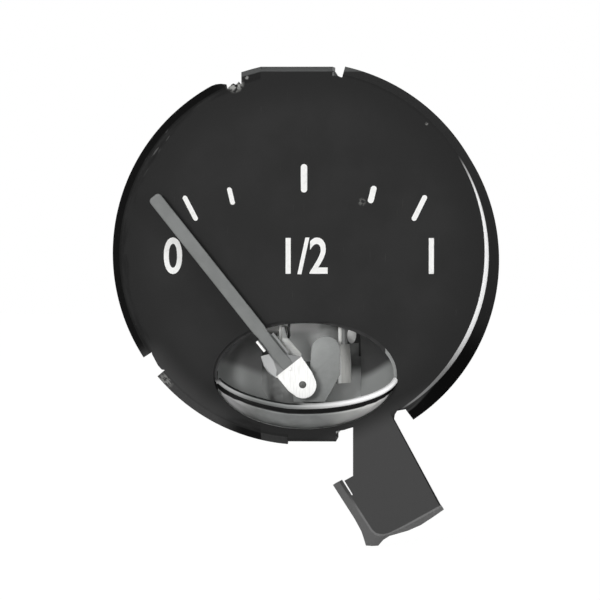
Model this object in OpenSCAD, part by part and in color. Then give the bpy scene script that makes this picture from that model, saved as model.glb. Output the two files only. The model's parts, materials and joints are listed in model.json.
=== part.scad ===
// Thermal fluid level gauge movement with its pressed dial, as taken out of an instrument panel.
// Origin: centre of the dial's front face. +X right, +Y back into the panel, +Z up. Millimetres.

/* [Dial] */
// Radius of the flat face, up to the crease of the rim
flat_r = 26.7; // [25:0.1:30]
// Thickness of the dial's sheet
sheet = 0.6; // [0.4:0.05:0.8]
// How far the sloping rim reaches outwards
rim_reach = 1.3; // [0.8:0.1:2]
// How far the sloping rim drops back
rim_drop = 2.2; // [1.4:0.1:3]
// How far the rim is bent out at the lower right
rim_bulge = 1.1; // [0:0.1:1.4]
// How far the folded tab stands up past the crease
tab_reach = 0.6; // [0.4:0.1:2]
// Left side of the folded tab
tab_left = -9; // [-11:0.1:-7]
// Right side of the folded tab
tab_right = 4.3; // [3:0.1:6]
// How far the folded bottom edge stands down past the crease
foot_reach = 0.7; // [0.4:0.1:2]
// Left side of the folded bottom edge
foot_left = -2.3; // [-4:0.1:-1]
// Right side of the folded bottom edge
foot_right = 4.8; // [4:0.1:6]
// How far a notch cuts in behind the crease
notch_cut = 0.4; // [0.2:0.1:0.8]

/* [Dial leg] */
// Left edge of the leg's neck
neck_left = 7.3; // [6.5:0.1:8]
// Length of the leg's left edge below the crease
neck_len = 5.7; // [5:0.1:7]
// Reach of the two folded flanges beside the leg
leg_reach = 1.6; // [1:0.1:2]
// Drop of the two folded flanges behind the leg
leg_drop = 2.2; // [1.4:0.1:3]

/* [Bowl] */
// Centre of the elliptical opening, to the right
open_x = 0.3; // [-0.5:0.1:1]
// Width of the sheet left below the opening
open_margin = 1.1; // [1:0.1:1.6]
// Half of the opening's width
open_a = 13.4; // [12.5:0.1:14]
// Half of the opening's height
open_b = 8; // [7.6:0.1:8.3]
// Clearance between the bowl and the opening
bowl_gap = 0.1; // [0.05:0.01:0.2]
// Wall of the bowl
bowl_wall = 0.4; // [0.3:0.05:0.6]
// Depth of the bowl's own centre line behind the dial's face
bowl_y = 1.5; // [1.2:0.1:1.8]
// Tilt of the bowl's lip below the horizontal
lip_tilt = 33; // [25:1:40]
// Radius of the bead along the lip
bead_r = 0.42; // [0.3:0.02:0.5]
// Width of the welded flange behind the dial
bowl_flange = 1.2; // [0.8:0.1:1.6]

/* [Pointer] */
// Pivot centre, to the right
pivot_x = 0; // [-0.5:0.1:0.5]
// Distance of the pivot below the opening's centre
pivot_drop = 1.4; // [1.1:0.1:1.7]
// Resting angle of the pointer, to the left of upright
rest_angle = 38.4; // [34:0.2:42]
// Length from the pivot to the tip
pointer_len = 34.7; // [30:0.1:36]
// Width of the bar at its root
pointer_w = 2; // [1.6:0.1:2.2]
// Width of the bar at its tip
tip_w = 1.7; // [1.2:0.1:2]
// Thickness of the bar
pointer_t = 0.5; // [0.4:0.05:0.7]
// Thickness of the hub's sheet
hub_t = 0.35; // [0.25:0.05:0.5]
// Half of the tab's width
tab_half = 2.3; // [2:0.1:2.5]
// Distance from the pivot to the upper edge of the tab
tab_len = 3.3; // [3.1:0.1:4]
// Distance from the pivot to the end of the channel
channel_len = 9.2; // [8:0.1:10]
// Height of the channel's side walls in front of its floor
channel_h = 1.5; // [1:0.1:2]
// Radius of the pivot pin
pin_r = 0.36; // [0.3:0.02:0.45]
// Running clearance round the pivot pin
pin_gap = 0.04; // [0.02:0.01:0.08]
// Radius of the crank pin
crank_pin_r = 0.25; // [0.2:0.01:0.3]
// Distance from the pivot to the crank pin
crank_r = 2.9; // [2.7:0.05:3]
// Clearance of the crank pin on each side of the hook's slot
slot_gap = 0.12; // [0.1:0.01:0.16]

/* [Pivot arm] */
// Depth of the arm's front behind the dial's face
arm_y = 0.5; // [0.4:0.05:0.8]
// Thickness of the arm
arm_t = 0.8; // [0.6:0.05:1]
// Radius of the arm's rounded top
arm_top_r = 2.1; // [1.8:0.1:2.3]
// Centre of the rounded top, to the right of the pivot
arm_top_x = 3.3; // [3:0.1:3.6]
// Centre of the rounded top, above the pivot
arm_top_z = 4.9; // [4.5:0.1:5.2]
// Radius of the boss round the pivot
arm_boss_r = 1.6; // [1.3:0.1:1.8]
// Distance of the arm's bend below the pivot
arm_low = 2.6; // [2.3:0.1:2.8]

/* [Bimetal] */
// Thickness of both strips
strip_t = 0.5; // [0.35:0.05:0.6]
// Width of both strips
strip_w = 3; // [2.6:0.1:3.4]
// Depth of the strips' middle behind the dial's face
strip_y = 3.7; // [3.5:0.1:4]
// Middle of the active strip, to the right
active_x = -3.35; // [-3.6:0.05:-3.1]
// Height of the active strip's lower end above the pivot
hook_rise = 6.2; // [5.9:0.1:6.5]
// Free length of the active strip
strip_len = 22.8; // [22:0.1:23.4]
// Middle of the compensator strip, to the right
comp_x = 5.8; // [5.6:0.1:6.2]
// Length of the compensator strip below the bridge
comp_len = 29.4; // [28.4:0.1:30]
// Turn of the compensator strip about its own length
comp_turn = 20; // [10:1:25]
// Thickness of the hook's sheet
hook_t = 0.4; // [0.3:0.05:0.5]
// Clearance between flat moving sheets near the pivot
layer_gap = 0.45; // [0.35:0.05:0.6]
// Gap between the active strip and the bridge, where the strip bends
flex_gap = 0.15; // [0.1:0.05:0.3]

/* [Heater] */
// Turns of resistance wire
turns = 18; // [10:1:22]
// Distance from one turn to the next
pitch = 0.9; // [0.75:0.05:0.95]
// Radius of the resistance wire
wire_r = 0.15; // [0.1:0.01:0.17]
// Thickness of the insulating sleeve over the strip's faces
sleeve_t = 0.2; // [0.15:0.05:0.3]
// Radius of the covered lead wires
lead_r = 0.2; // [0.15:0.01:0.25]

/* [Movement plate] */
// Depth of the plate's front behind the dial's face
plate_y = 11; // [10.5:0.1:13]
// Thickness of the plate
plate_t = 1; // [0.8:0.1:1.5]
// Length of the ears folded forward from the plate
ear_len = 7; // [5:0.1:8]
// Radius of the small rivets
rivet_r = 0.7; // [0.5:0.05:0.8]
// Thickness of a rivet's head
rivet_head = 0.45; // [0.3:0.05:0.6]

/* [Terminals] */
// Half of the distance between the studs
stud_half = 8.5; // [8.2:0.1:9]
// Radius of the studs over the crests of their thread
stud_r = 2; // [1.8:0.1:2.1]
// Depth of the thread from its crests to its middle
thread_t = 0.2; // [0.1:0.05:0.3]
// Free length of a stud beyond its last nut
stud_free = 5; // [4:0.5:10]
// Thickness of the fibre terminal board
board_t = 1.6; // [1.2:0.1:2.5]
// Height of the terminal board
board_h = 11; // [9:0.5:14]
// Width of the terminal board beyond the washers
board_edge = 0.3; // [0.1:0.1:1]
// Thickness of a nut
nut_t = 3.2; // [2.4:0.1:4]
// Width of a nut across its flats
nut_af = 7; // [6.5:0.1:8]
// Thickness of a washer
washer_t = 0.8; // [0.5:0.1:1]
// Width of a plain washer beyond the nut's flats
washer_rim = 0.7; // [0.5:0.1:0.9]
// Width of a blade tag
blade_w = 6.3; // [4.8:0.1:6.3]
// Thickness of a blade tag
blade_t = 0.8; // [0.5:0.1:0.8]
// Length of a blade beyond its stud's centre
blade_len = 13; // [11:0.5:16]
// Clearance between a stud and what is threaded over it
stud_gap = 0.1; // [0.05:0.01:0.15]

/* [Hidden] */
$fn = 64;

// Colours, as the photograph shows them
dial_black = "#333333";
bowl_grey = "#7d7f7e";
pointer_grey = "#858585";
tab_white = "#f2f2f0";
steel_grey = "#8c8e8d";
brass = "#b59a5a";
fibre_red = "#6b3b2c";
cover_black = "#181818";
copper = "#a8683e";

eps = 0.01;
cut = 60; // longer than anything that it cuts

// Heights that follow from the dial's radius and from one another
tab_top = flat_r + tab_reach;
foot_drop = flat_r + foot_reach;
neck_low = -flat_r - neck_len;
open_z = open_margin + open_b - flat_r;
pivot_z = open_z - pivot_drop;
active_low = pivot_z + hook_rise;
bend_z = active_low + strip_len;

// Depths of the layers in front of the pivot arm, from the arm forwards
crank_pin_end = 0.2;
hook_back = arm_y - layer_gap - crank_pin_end;
hook_front = hook_back - hook_t;
hub_back = hook_front - layer_gap;
hub_front = hub_back - hub_t;
pointer_front = hub_front - pointer_t;

// The bowl is a spindle turned about a line along X; its section at the dial fills the opening
bowl_fit = sqrt(1 - pow((bowl_y - sheet) / open_b, 2));
bowl_b = (open_b - bowl_gap) / bowl_fit;
bowl_a = (open_a - bowl_gap) / bowl_fit;

// Depths of the stack on the studs, from the plate backwards and forwards
plate_back = plate_y + plate_t;
board_back = plate_back + board_t;
washer_back = board_back + washer_t;
nut_back = washer_back + nut_t;
tag_back = nut_back + blade_t;
spring_back = tag_back + washer_t;
lock_back = spring_back + nut_t;
stud_end = lock_back + stud_free;
bush_rim = 2.1;
bush_wall = 1;
bush_front = plate_y - washer_t;
solder_t = 0.4;
solder_rim = 1.5;
solder_w = 2.2;
solder_tail = 5.8;
solder_hole = 4.8;
solder_front = bush_front - solder_t;
head_t = 2;
head_rim = 1.4;
head_front = solder_front - head_t;
stud_chamfer = 0.4;
thread_r = stud_r - thread_t;
washer_r = nut_af / 2 + washer_rim;
plate_half = stud_half + washer_r + board_edge;

rivet_head_r = 1.6 * rivet_r;

// Crank pin at rest, seen from the front
crank_x = pivot_x - crank_r * sin(rest_angle);
crank_z = pivot_z + crank_r * cos(rest_angle);

// Winding on the sleeve
sleeve_r = strip_t / 2 + sleeve_t;
coil_r = sleeve_r + wire_r + 0.06;
coil_flat = strip_w / 2 - 0.1;
coil_below_bend = 1.9;
coil_low = bend_z - coil_below_bend - turns * pitch;
coil_high = coil_low + turns * pitch;
wire_end = 2 * wire_r + 0.15;

function unit(v) = v / norm(v);
function carried(n, t) = unit(n - (n * t) * t);
function tangents(p) = [for (i = [0:len(p) - 1]) unit(p[min(i + 1, len(p) - 1)] - p[max(i - 1, 0)])];
function normals(t) = [for (i = 0, n = carried(abs(t[0].z) < 0.9 ? [0, 0, 1] : [1, 0, 0], t[0]);
    i < len(t); i = i + 1, n = carried(n, t[min(i, len(t) - 1)])) n];

// A round tube along a list of points, as one closed skin of triangles
module tube(points, r, sides) {
    t = tangents(points);
    n = normals(t);
    last = len(points) - 1;
    skin = [for (i = [0:last], k = [0:sides - 1])
        points[i] + r * (cos(360 * k / sides) * n[i] + sin(360 * k / sides) * cross(t[i], n[i]))];
    walls = [for (i = [0:last - 1], k = [0:sides - 1], half = [0, 1])
        let (a = i * sides + k, b = i * sides + (k + 1) % sides)
        half == 0 ? [a, a + sides, b + sides] : [a, b + sides, b]];
    caps = [for (k = [1:sides - 2], top = [0, 1])
        top == 0 ? [0, k, k + 1] : [last * sides, last * sides + k + 1, last * sides + k]];
    polyhedron(skin, concat(walls, caps), convexity = 6);
}

// Points along a smooth curve through a few chosen ones, straight in its first and last stretch
function smooth_point(a, b, c, d, s) = 0.5 * (2 * b + (c - a) * s + (2 * a - 5 * b + 4 * c - d) * s * s
    + (3 * b - a - 3 * c + d) * s * s * s);
function smooth_path(p, steps) = concat([p[0]], [for (i = [1:len(p) - 3], k = [0:steps - 1])
    smooth_point(p[i - 1], p[i], p[i + 1], p[i + 2], k / steps)], [p[len(p) - 2], p[len(p) - 1]]);

// A front outline, x to the right and z up, between two depths
module slab(front, back) {
    translate([0, back, 0]) rotate([90, 0, 0]) linear_extrude(back - front) children();
}

// A round bar along the depth
module round_bar(x, z, r, front, back) {
    translate([x, front, z]) rotate([-90, 0, 0]) cylinder(r = r, h = back - front);
}

module wedge(from, to, r) {
    polygon(concat([[0, 0]], [for (i = [0:12]) let (a = from + (to - from) * i / 12) r * [cos(a), sin(a)]]));
}

module on_pointer() {
    translate([pivot_x, 0, pivot_z]) rotate([0, -rest_angle, 0]) children();
}

module on_comp() {
    translate([comp_x, strip_y, 0]) rotate([0, 0, -comp_turn]) children();
}

module at_studs() {
    for (side = [-1, 1]) translate([side * stud_half, 0, 0]) children();
}

// Dial: a stamped sheet with a sloping rim, folded edges at top and bottom, and a leg
rim_angle = atan2(rim_drop, rim_reach);
rim_r = flat_r + rim_reach;
bulge_dir = -60;

// Angles round the dial, from +X: where the rim is bent out, and its four notches, two beside the tab
bulge_arc = [-57, 30];
rim_notches = [[acos(tab_left / rim_r) - 1, 114.5], [77.5, acos(tab_right / rim_r) + 1], [212, 220],
    [-80.5, -56.5]];

module dial_sheet() {
    rotate([90, 0, 0]) rotate_extrude() polygon([[0, 0], [flat_r, 0], [rim_r, -rim_drop],
        [rim_r - sheet * sin(rim_angle), -rim_drop - sheet * cos(rim_angle)],
        [flat_r - sheet * tan(rim_angle / 2), -sheet], [0, -sheet]]);
}

module rim_notch(arc) {
    slab(-1, rim_drop + 2) difference() {
        wedge(arc[0], arc[1], 1.3 * flat_r);
        circle(flat_r - notch_cut);
    }
}

tab_corner = 2.9;
tab_step = 0.8;
tab_root = 3;
tab_clear = 0.9;
foot_clear = 0.6;

module top_tab() {
    slab(0, sheet) polygon([[tab_left, flat_r - tab_root], [tab_left, tab_top - tab_step],
        [tab_left + tab_corner, tab_top], [tab_right, tab_top], [tab_right, flat_r - tab_root]]);
    translate([tab_left + tab_corner, 0, tab_top - sheet])
        cube([tab_right - tab_left - tab_corner, plate_y, sheet]);
}

module bottom_fold() {
    translate([foot_left, 0, -foot_drop]) {
        cube([foot_right - foot_left, sheet, foot_reach + tab_root]);
        cube([foot_right - foot_left, plate_y, sheet]);
    }
}

// The leg's corners, as places on the dial
neck_corner = [neck_left, neck_low];
leg_slot_top = neck_corner + [-1.05, -0.7];
leg_slot_end = neck_corner + [-0.2, -2.9];
leg_fold_top = neck_corner + [-1.7, -0.6];
leg_corner_left = neck_corner + [3.2, -8.2];
leg_fold_low = neck_corner + [5.6, -8.1];
leg_corner_right = neck_corner + [12.75, -4.1];
leg_hook_end = leg_corner_left + [0, -2.2];
neck_right = (flat_r - 0.13) * [cos(-60), sin(-60)];
leg_fold_short = 0.9;

// A flange that slopes back from just outside the edge between two places on the dial
fold_out = 0.12;
module fold_flange(a, b, reach, drop) {
    slope = atan2(drop, reach);
    translate([a.x, 0, a.y]) rotate([0, atan2(b.x - a.x, b.y - a.y), 0])
        translate([fold_out, 0, fold_out / 2]) linear_extrude(norm(b - a) - fold_out)
        polygon([[-2 * fold_out, 0], [0, 0], [reach, drop],
            [reach - sheet * sin(slope), drop + sheet * cos(slope)], [-sheet * tan(slope / 2), sheet],
            [-2 * fold_out - sheet * tan(slope / 2), sheet]]);
}

module leg() {
    slab(0, sheet) polygon([[neck_left, tab_root - flat_r], neck_corner, leg_slot_top,
        leg_slot_end + [0.25, 0.25], leg_slot_end, leg_corner_left, leg_fold_low, leg_corner_right,
        neck_right, neck_right + [-2, 2]]);
    fold_flange(leg_fold_top, leg_corner_left, leg_reach, leg_drop);
    fold_flange(leg_fold_low, leg_corner_right, leg_fold_short * leg_reach, leg_drop);
    slab(sheet / 2, sheet * 1.5) polygon([leg_corner_left + [-2.1, 0.7], leg_hook_end + [-1.3, 0],
        leg_hook_end + [0.6, 0], leg_hook_end + [1.3, 0.9], leg_fold_low + [0.2, 0.3]]);
}

open_flat = 0.3;

module opening() {
    polygon([for (a = [0:5:355])
        [open_x + open_a * cos(a), min(open_z + open_b * sin(a), open_z + open_b - open_flat)]]);
}

module bulge_sector() {
    slab(-1, rim_drop + 2) wedge(bulge_arc[0], bulge_arc[1], 2 * flat_r);
}

module dial() {
    color(dial_black) difference() {
        union() {
            difference() {
                dial_sheet();
                bulge_sector();
                for (arc = rim_notches) rim_notch(arc);
                translate([tab_left, -1, flat_r - tab_clear]) cube([tab_right - tab_left, cut, cut]);
                translate([foot_left, -1, foot_clear - flat_r - cut])
                    cube([foot_right - foot_left, cut, cut]);
            }
            intersection() {
                translate([rim_bulge * cos(bulge_dir), 0, rim_bulge * sin(bulge_dir)]) dial_sheet();
                bulge_sector();
            }
            top_tab();
            bottom_fold();
            leg();
        }
        slab(-1, sheet + 1) opening();
        at_flange_rivets() {
            translate([0, 0, -rivet_r]) cylinder(r = rivet_r, h = sheet + 2 * rivet_r);
            translate([0, 0, sheet - flush_depth])
                cylinder(r1 = rivet_r, r2 = rivet_head_r, h = flush_depth);
        }
    }
}

// Bowl: a pressed spindle open at the front top, with a bead along its lip
module bowl_profile() {
    steps = 24;
    polygon(concat(
        [for (i = [0:steps]) let (t = 180 * i / steps) [bowl_b * sin(t), bowl_a * cos(t)]],
        [for (i = [steps:-1:0]) let (t = 180 * i / steps)
            [(bowl_b - bowl_wall) * sin(t), (bowl_a - bowl_wall) * cos(t)]]));
}

module ellipse_outline(a, b) {
    polygon([for (t = [0:5:355]) [open_x + a * cos(t), open_z + b * sin(t)]]);
}

module pivot_bowl() {
    bead_rings = 40;
    bead_from = asin((bowl_y + bead_r + 0.05) / (bowl_b * cos(lip_tilt)));
    bead_path = [for (i = [0:bead_rings]) let (t = bead_from + (180 - 2 * bead_from) * i / bead_rings)
        [open_x + bowl_a * cos(t), bowl_y - bowl_b * sin(t) * cos(lip_tilt),
        open_z - bowl_b * sin(t) * sin(lip_tilt)]];
    seam = 0.05;
    color(bowl_grey) {
        difference() {
            translate([open_x, bowl_y, open_z]) rotate([0, 90, 0]) rotate([0, 0, lip_tilt - 90])
                rotate_extrude(angle = 310 - lip_tilt) bowl_profile();
            translate([-cut, sheet - cut, open_z]) cube([2 * cut, cut, cut]);
            translate([window_left, sheet + bowl_wall, window_low])
                cube([window_right - window_left, cut, cut]);
        }
        slab(sheet, sheet + bowl_wall) difference() {
            intersection() {
                ellipse_outline(open_a + bowl_flange, open_b + bowl_flange);
                circle(flat_r - 1);
            }
            ellipse_outline(bowl_a - bowl_wall - seam, bowl_b - bowl_wall - seam);
        }
        tube(bead_path, bead_r, 8);
    }
}

// Window through the bowl's back, for the strips and the arm
window_left = active_x - 3.15;
window_right = comp_x + 2.6;
window_low = pivot_z - arm_low - 1;

// Pointer and its hub, drawn upright on the pivot and turned to the resting angle
channel_root = pointer_w / 2 - 0.15;

module pointer() {
    color(pointer_grey) on_pointer() slab(pointer_front, hub_front) {
        polygon([[-pointer_w / 2 + 0.15, tab_len + 0.3], [pointer_w / 2 - 0.15, tab_len + 0.3],
            [tip_w / 2, pointer_len - tip_w / 2], [-tip_w / 2, pointer_len - tip_w / 2]]);
        translate([0, pointer_len - tip_w / 2]) circle(tip_w / 2);
    }
}

module tab_outline() {
    translate([0, -0.1]) circle(tab_half - 0.35);
    polygon([[-tab_half, tab_len], [tab_half, tab_len], [tab_half - 0.1, 0.6], [tab_half - 0.5, -0.7],
        [-tab_half + 0.5, -0.7], [-tab_half + 0.1, 0.6]]);
}

module pointer_hub() {
    wall_foot = channel_root + 0.05;
    color(tab_white) on_pointer() difference() {
        union() {
            slab(hub_front, hub_back) {
                tab_outline();
                polygon([[-tab_half, tab_len - 0.1], [tab_half, tab_len - 0.1], [wall_foot, tab_len + 2.4],
                    [wall_foot, channel_len - 0.6], [wall_foot - 0.4, channel_len],
                    [-wall_foot, channel_len], [-tab_half, tab_len + 3.2]]);
            }
            // Splayed wall on the left, with a short lip that clasps the bar
            translate([0, 0, tab_len]) linear_extrude(3.2) polygon([[-tab_half, hub_back],
                [-tab_half - 0.15, hub_front - channel_h], [-tab_half + hub_t - 0.15, hub_front - channel_h],
                [-wall_foot - 0.15, hub_front - 0.1], [-wall_foot - 0.15, hub_back]]);
            translate([-wall_foot - hub_t, hub_front - 1.2, tab_len + 3.2 - eps])
                cube([hub_t, hub_back - hub_front + 1.2, channel_len - tab_len - 3.2]);
            translate([wall_foot, hub_front - 0.8, tab_len + 1.6])
                cube([hub_t, hub_back - hub_front + 0.8, channel_len - tab_len - 2.2]);
        }
        round_bar(0, 0, pin_r + pin_gap, -cut, cut);
        round_bar(0, crank_r, crank_pin_r, -cut, cut);
    }
}

module crank_pin() {
    color(brass) on_pointer() round_bar(0, crank_r, crank_pin_r, hub_front, hook_back + crank_pin_end);
}

module pivot_collar() {
    color(brass) translate([pivot_x, 0, pivot_z]) difference() {
        round_bar(0, 0, 2.4 * pin_r, hub_back + 0.05, arm_y);
        round_bar(0, 0, pin_r, -cut, cut);
    }
}

module pivot_pin() {
    color(steel_grey) translate([pivot_x, 0, pivot_z]) {
        round_bar(0, 0, pin_r, hub_front - 0.08, arm_y + arm_t);
        round_bar(0, 0, 2 * pin_r, arm_y + arm_t, arm_y + arm_t + rivet_head);
        round_bar(0, 0, pin_r + pin_gap + 0.03, hub_front - 0.16, hub_front - 0.05);
    }
}

// Pivot arm: a bracket from the movement plate, up behind the tab
arm_left = pivot_x + 0.2 - arm_boss_r;
arm_right = pivot_x + 2 * arm_boss_r;
arm_bend = pivot_z - arm_low;
arm_foot_h = 5.4;
arm_rivet_z = arm_bend + 3.4;
arm_rivet_x = [arm_left + 1.1, arm_right - 1.1];

module pivot_arm() {
    top = [pivot_x + arm_top_x, pivot_z + arm_top_z];
    color(steel_grey) difference() {
        union() {
            slab(arm_y, arm_y + arm_t) {
                translate(top) circle(arm_top_r);
                translate([pivot_x, pivot_z]) circle(arm_boss_r);
                polygon([[top.x - arm_top_r, top.y], [top.x + arm_top_r, top.y],
                    [top.x + arm_top_r, pivot_z + 1.4], [arm_right, arm_bend], [arm_left, arm_bend],
                    [pivot_x - arm_boss_r, pivot_z], [pivot_x + 0.9, pivot_z + arm_boss_r]]);
            }
            translate([arm_left, arm_y, arm_bend]) cube([arm_right - arm_left, plate_y - arm_y, arm_t]);
            translate([arm_left, plate_y - arm_t, arm_bend]) cube([arm_right - arm_left, arm_t, arm_foot_h]);
        }
        round_bar(pivot_x, pivot_z, pin_r, -cut, plate_y / 2);
        for (x = arm_rivet_x) round_bar(x, arm_rivet_z, rivet_r, plate_y / 2, cut);
    }
}

module plate_rivet(x, z, front, back) {
    round_bar(x, z, rivet_r, front, back);
    round_bar(x, z, rivet_head_r, front - rivet_head, front);
    round_bar(x, z, rivet_head_r, back, back + rivet_head);
}

module arm_rivets() {
    color(steel_grey) for (x = arm_rivet_x) plate_rivet(x, arm_rivet_z, plate_y - arm_t, plate_back);
}

// Active strip with its hook, sleeve and winding
module active_strip() {
    color(bowl_grey) difference() {
        translate([active_x - strip_t / 2, strip_y - strip_w / 2, active_low])
            cube([strip_t, strip_w, bend_z + 0.1 - active_low]);
        hook_rivet_holes();
    }
}

hook_rivet_r = 0.3;
small_head = 0.25;
small_rim = 0.2;
hook_rivet_z = [active_low + 0.55, active_low + 1.65];

module at_hook_rivets() {
    for (z = hook_rivet_z) translate([active_x, strip_y - 0.5, z]) rotate([0, 90, 0]) children();
}

module hook_rivet_holes() {
    at_hook_rivets() cylinder(r = hook_rivet_r, h = 10 * strip_t, center = true);
}

// A small rivet through a strip and the sheet on its right side
module small_rivet(r, grip) {
    translate([0, 0, -strip_t / 2]) cylinder(r = r, h = grip);
    translate([0, 0, -strip_t / 2 - small_head]) cylinder(r = r + small_rim, h = small_head);
    translate([0, 0, grip - strip_t / 2]) cylinder(r = r + small_rim, h = small_head);
}

// The hook is one folded sheet: a lug against the strip and a fork in front of the arm
module drive_hook() {
    lug_x = active_x + strip_t / 2;
    slot_half = crank_pin_r + slot_gap;
    color("#b5b5b5") difference() {
        union() {
            translate([lug_x, hook_front, active_low - 0.4])
                cube([hook_t, strip_y + 0.5 - hook_front, 2.6]);
            slab(hook_front, hook_back) polygon([[lug_x, active_low + 2.2],
                [lug_x + hook_t, active_low + 2.2], [lug_x + 0.9, active_low + 0.5],
                [crank_x + 1.6, crank_z + 2.2], [crank_x + 1.1, crank_z - 0.85],
                [crank_x - 0.95, crank_z - 0.85], [crank_x - 1.2, crank_z + 1.6],
                [lug_x, active_low - 0.4]]);
        }
        slab(-cut, arm_y) {
            translate([crank_x - slot_half, crank_z - 5]) square([2 * slot_half, 5.75]);
            translate([crank_x, crank_z + 0.75]) circle(slot_half);
        }
        hook_rivet_holes();
    }
}

module hook_rivets() {
    color(steel_grey) at_hook_rivets() small_rivet(hook_rivet_r, strip_t + hook_t);
}

module insulating_sleeve() {
    color("#d8d2bd") translate([active_x, strip_y, coil_low - 0.5]) linear_extrude(turns * pitch + 0.8)
        difference() {
            union() {
                square([2 * sleeve_r, 2 * coil_flat], center = true);
                for (s = [-1, 1]) translate([0, s * coil_flat]) circle(sleeve_r);
            }
            square([strip_t, strip_w], center = true);
        }
}

// One turn runs up the right face, round the back, down the left face and round the front
steps_flat = 4;
steps_round = 8;
rings = 2 * (steps_flat + steps_round);
back_from = steps_flat / 2;
left_from = back_from + steps_round;
front_from = left_from + steps_flat;
right_from = front_from + steps_round;
function round_end(side, a) = [side * coil_r * cos(a), side * (coil_flat + coil_r * sin(a))];
function turn_place(k) = k < back_from ? [coil_r, 2 * coil_flat * k / steps_flat]
    : k < left_from ? round_end(1, 180 * (k - back_from) / steps_round)
    : k < front_from ? [-coil_r, coil_flat - 2 * coil_flat * (k - left_from) / steps_flat]
    : k < right_from ? round_end(-1, 180 * (k - front_from) / steps_round)
    : [coil_r, 2 * coil_flat * (k - right_from) / steps_flat - coil_flat];
function coil_point(i) = let (p = turn_place(i % rings))
    [active_x + p.x, strip_y + p.y, coil_low + pitch * i / rings];
coil_points = [for (i = [0:turns * rings]) coil_point(i)];
coil_start = coil_points[0] - [0, wire_end, 0];
coil_end = coil_points[turns * rings] + [0, wire_end, 0];
winding_points = concat([coil_start], coil_points, [coil_end]);
least_gap = min([for (i = [0:len(coil_points) - 1], j = [i + 8:4 * rings])
    if (j < len(coil_points)) norm(coil_points[i] - coil_points[j])]) - 2 * wire_r;
echo(str("Least gap of heater_winding to itself: ", least_gap, " mm"));  // heater_winding

module heater_winding() {
    color(copper) tube(winding_points, wire_r, 6);
}

module heater_tail() {
    lug_face = active_x + strip_t / 2 + hook_t;
    color(cover_black) tube(smooth_path([coil_start, coil_start + [0, -0.5, 0],
        [active_x + 1.15, 2.1, coil_low - 0.8], [active_x + 1.35, 1.6, coil_low - 1.9],
        [active_x + 1.1, 1.35, coil_low - 3], [active_x + 1.35, 1.4, active_low + 0.9],
        [lug_face + 0.5, 1.5, active_low + 0.45], [lug_face, 1.5, active_low + 0.45]], 3), lead_r, 8);
}

// Bridge, compensator strip and the anchor that carries all of them
bridge_t = 0.6;
bridge_lug_t = 0.5;
bridge_low = bend_z + 0.1 + flex_gap + 0.15;
bridge_rivet_z = [bridge_low - 2.1, bridge_low - 0.9];
bridge_rivet_r = 0.35;
comp_low = bridge_low - comp_len;
anchor_z = comp_low + 7;
anchor_h = 2.5;
anchor_foot_t = 0.6;
anchor_pad_t = 0.4;
anchor_reach = (plate_y - anchor_pad_t - 0.4 - strip_y) / cos(comp_turn);
anchor_t = 0.5;
anchor_foot_left = comp_x + 2.4;
anchor_foot_w = 4;
anchor_foot_z = comp_low + 4;
anchor_foot_h = 6;
anchor_foot_back = plate_y - anchor_pad_t;
anchor_rivet_x = anchor_foot_left + 2.7;
anchor_rivet_z = [anchor_foot_z + 1.5, anchor_foot_z + anchor_foot_h - 1.5];

module at_bridge_rivets() {
    on_comp() for (z = bridge_rivet_z) translate([0, 0, z]) rotate([0, 90, 0]) children();
}

module bridge_rivet_holes() {
    at_bridge_rivets() cylinder(r = bridge_rivet_r, h = 10 * strip_t, center = true);
}

module bimetal_bridge() {
    left = active_x - strip_t / 2 - flex_gap - bridge_lug_t;
    color(steel_grey) difference() {
        union() {
            translate([left, strip_y - strip_w / 2, bridge_low])
                cube([comp_x + 1.6 - left, strip_w, bridge_t]);
            translate([left, strip_y - strip_w / 2, bridge_low - 1.3]) cube([bridge_lug_t, strip_w, 1.4]);
            on_comp() translate([strip_t / 2, -strip_w / 2 + 0.1, bridge_low - strip_w])
                cube([bridge_lug_t, strip_w - 0.4, strip_w + 0.2]);
        }
        bridge_rivet_holes();
    }
}

module compensator_strip() {
    color("#9a9c9b") difference() {
        on_comp() translate([-strip_t / 2, -strip_w / 2, comp_low])
            cube([strip_t, strip_w, bridge_low - comp_low]);
        bridge_rivet_holes();
    }
}

module bridge_rivets() {
    color(steel_grey) at_bridge_rivets() small_rivet(bridge_rivet_r, strip_t + bridge_lug_t);
}

module anchor_bracket() {
    color("#c9cac8") difference() {
        union() {
            on_comp() translate([strip_t / 2, -strip_w / 2, anchor_z - anchor_h / 2])
                cube([anchor_t, strip_w / 2 + anchor_reach, anchor_h]);
            translate([anchor_foot_left, anchor_foot_back - anchor_foot_t, anchor_foot_z])
                cube([anchor_foot_w, anchor_foot_t, anchor_foot_h]);
        }
        translate([-cut, anchor_foot_back, -cut]) cube(2 * cut);
        anchor_rivet_holes();
    }
}

module anchor_rivet_holes() {
    for (z = anchor_rivet_z) round_bar(anchor_rivet_x, z, rivet_r, plate_y / 2, cut);
}

pad_rim = 0.4;

module anchor_pad() {
    color(fibre_red) difference() {
        translate([anchor_foot_left - pad_rim, anchor_foot_back, anchor_foot_z - pad_rim])
            cube([anchor_foot_w + 2 * pad_rim, anchor_pad_t, anchor_foot_h + 2 * pad_rim]);
        anchor_rivet_holes();
    }
}

module anchor_rivets() {
    color(steel_grey) for (z = anchor_rivet_z)
        plate_rivet(anchor_rivet_x, z, anchor_foot_back - anchor_foot_t, plate_back);
}

// Movement plate, riveted behind the dial's two folded edges
flange_rivet_y = plate_y - ear_len / 2;
flange_rivet_x = [tab_left + tab_corner + 2.2, tab_right - 2.2];
foot_rivet_x = [foot_left + 1.6, foot_right - 1.6];
flush_depth = 0.35;
shoulder_top = 13;
shoulder_right = anchor_foot_z - 2;
shoulder_left = -shoulder_top;
ear_side = 0.3;

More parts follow.
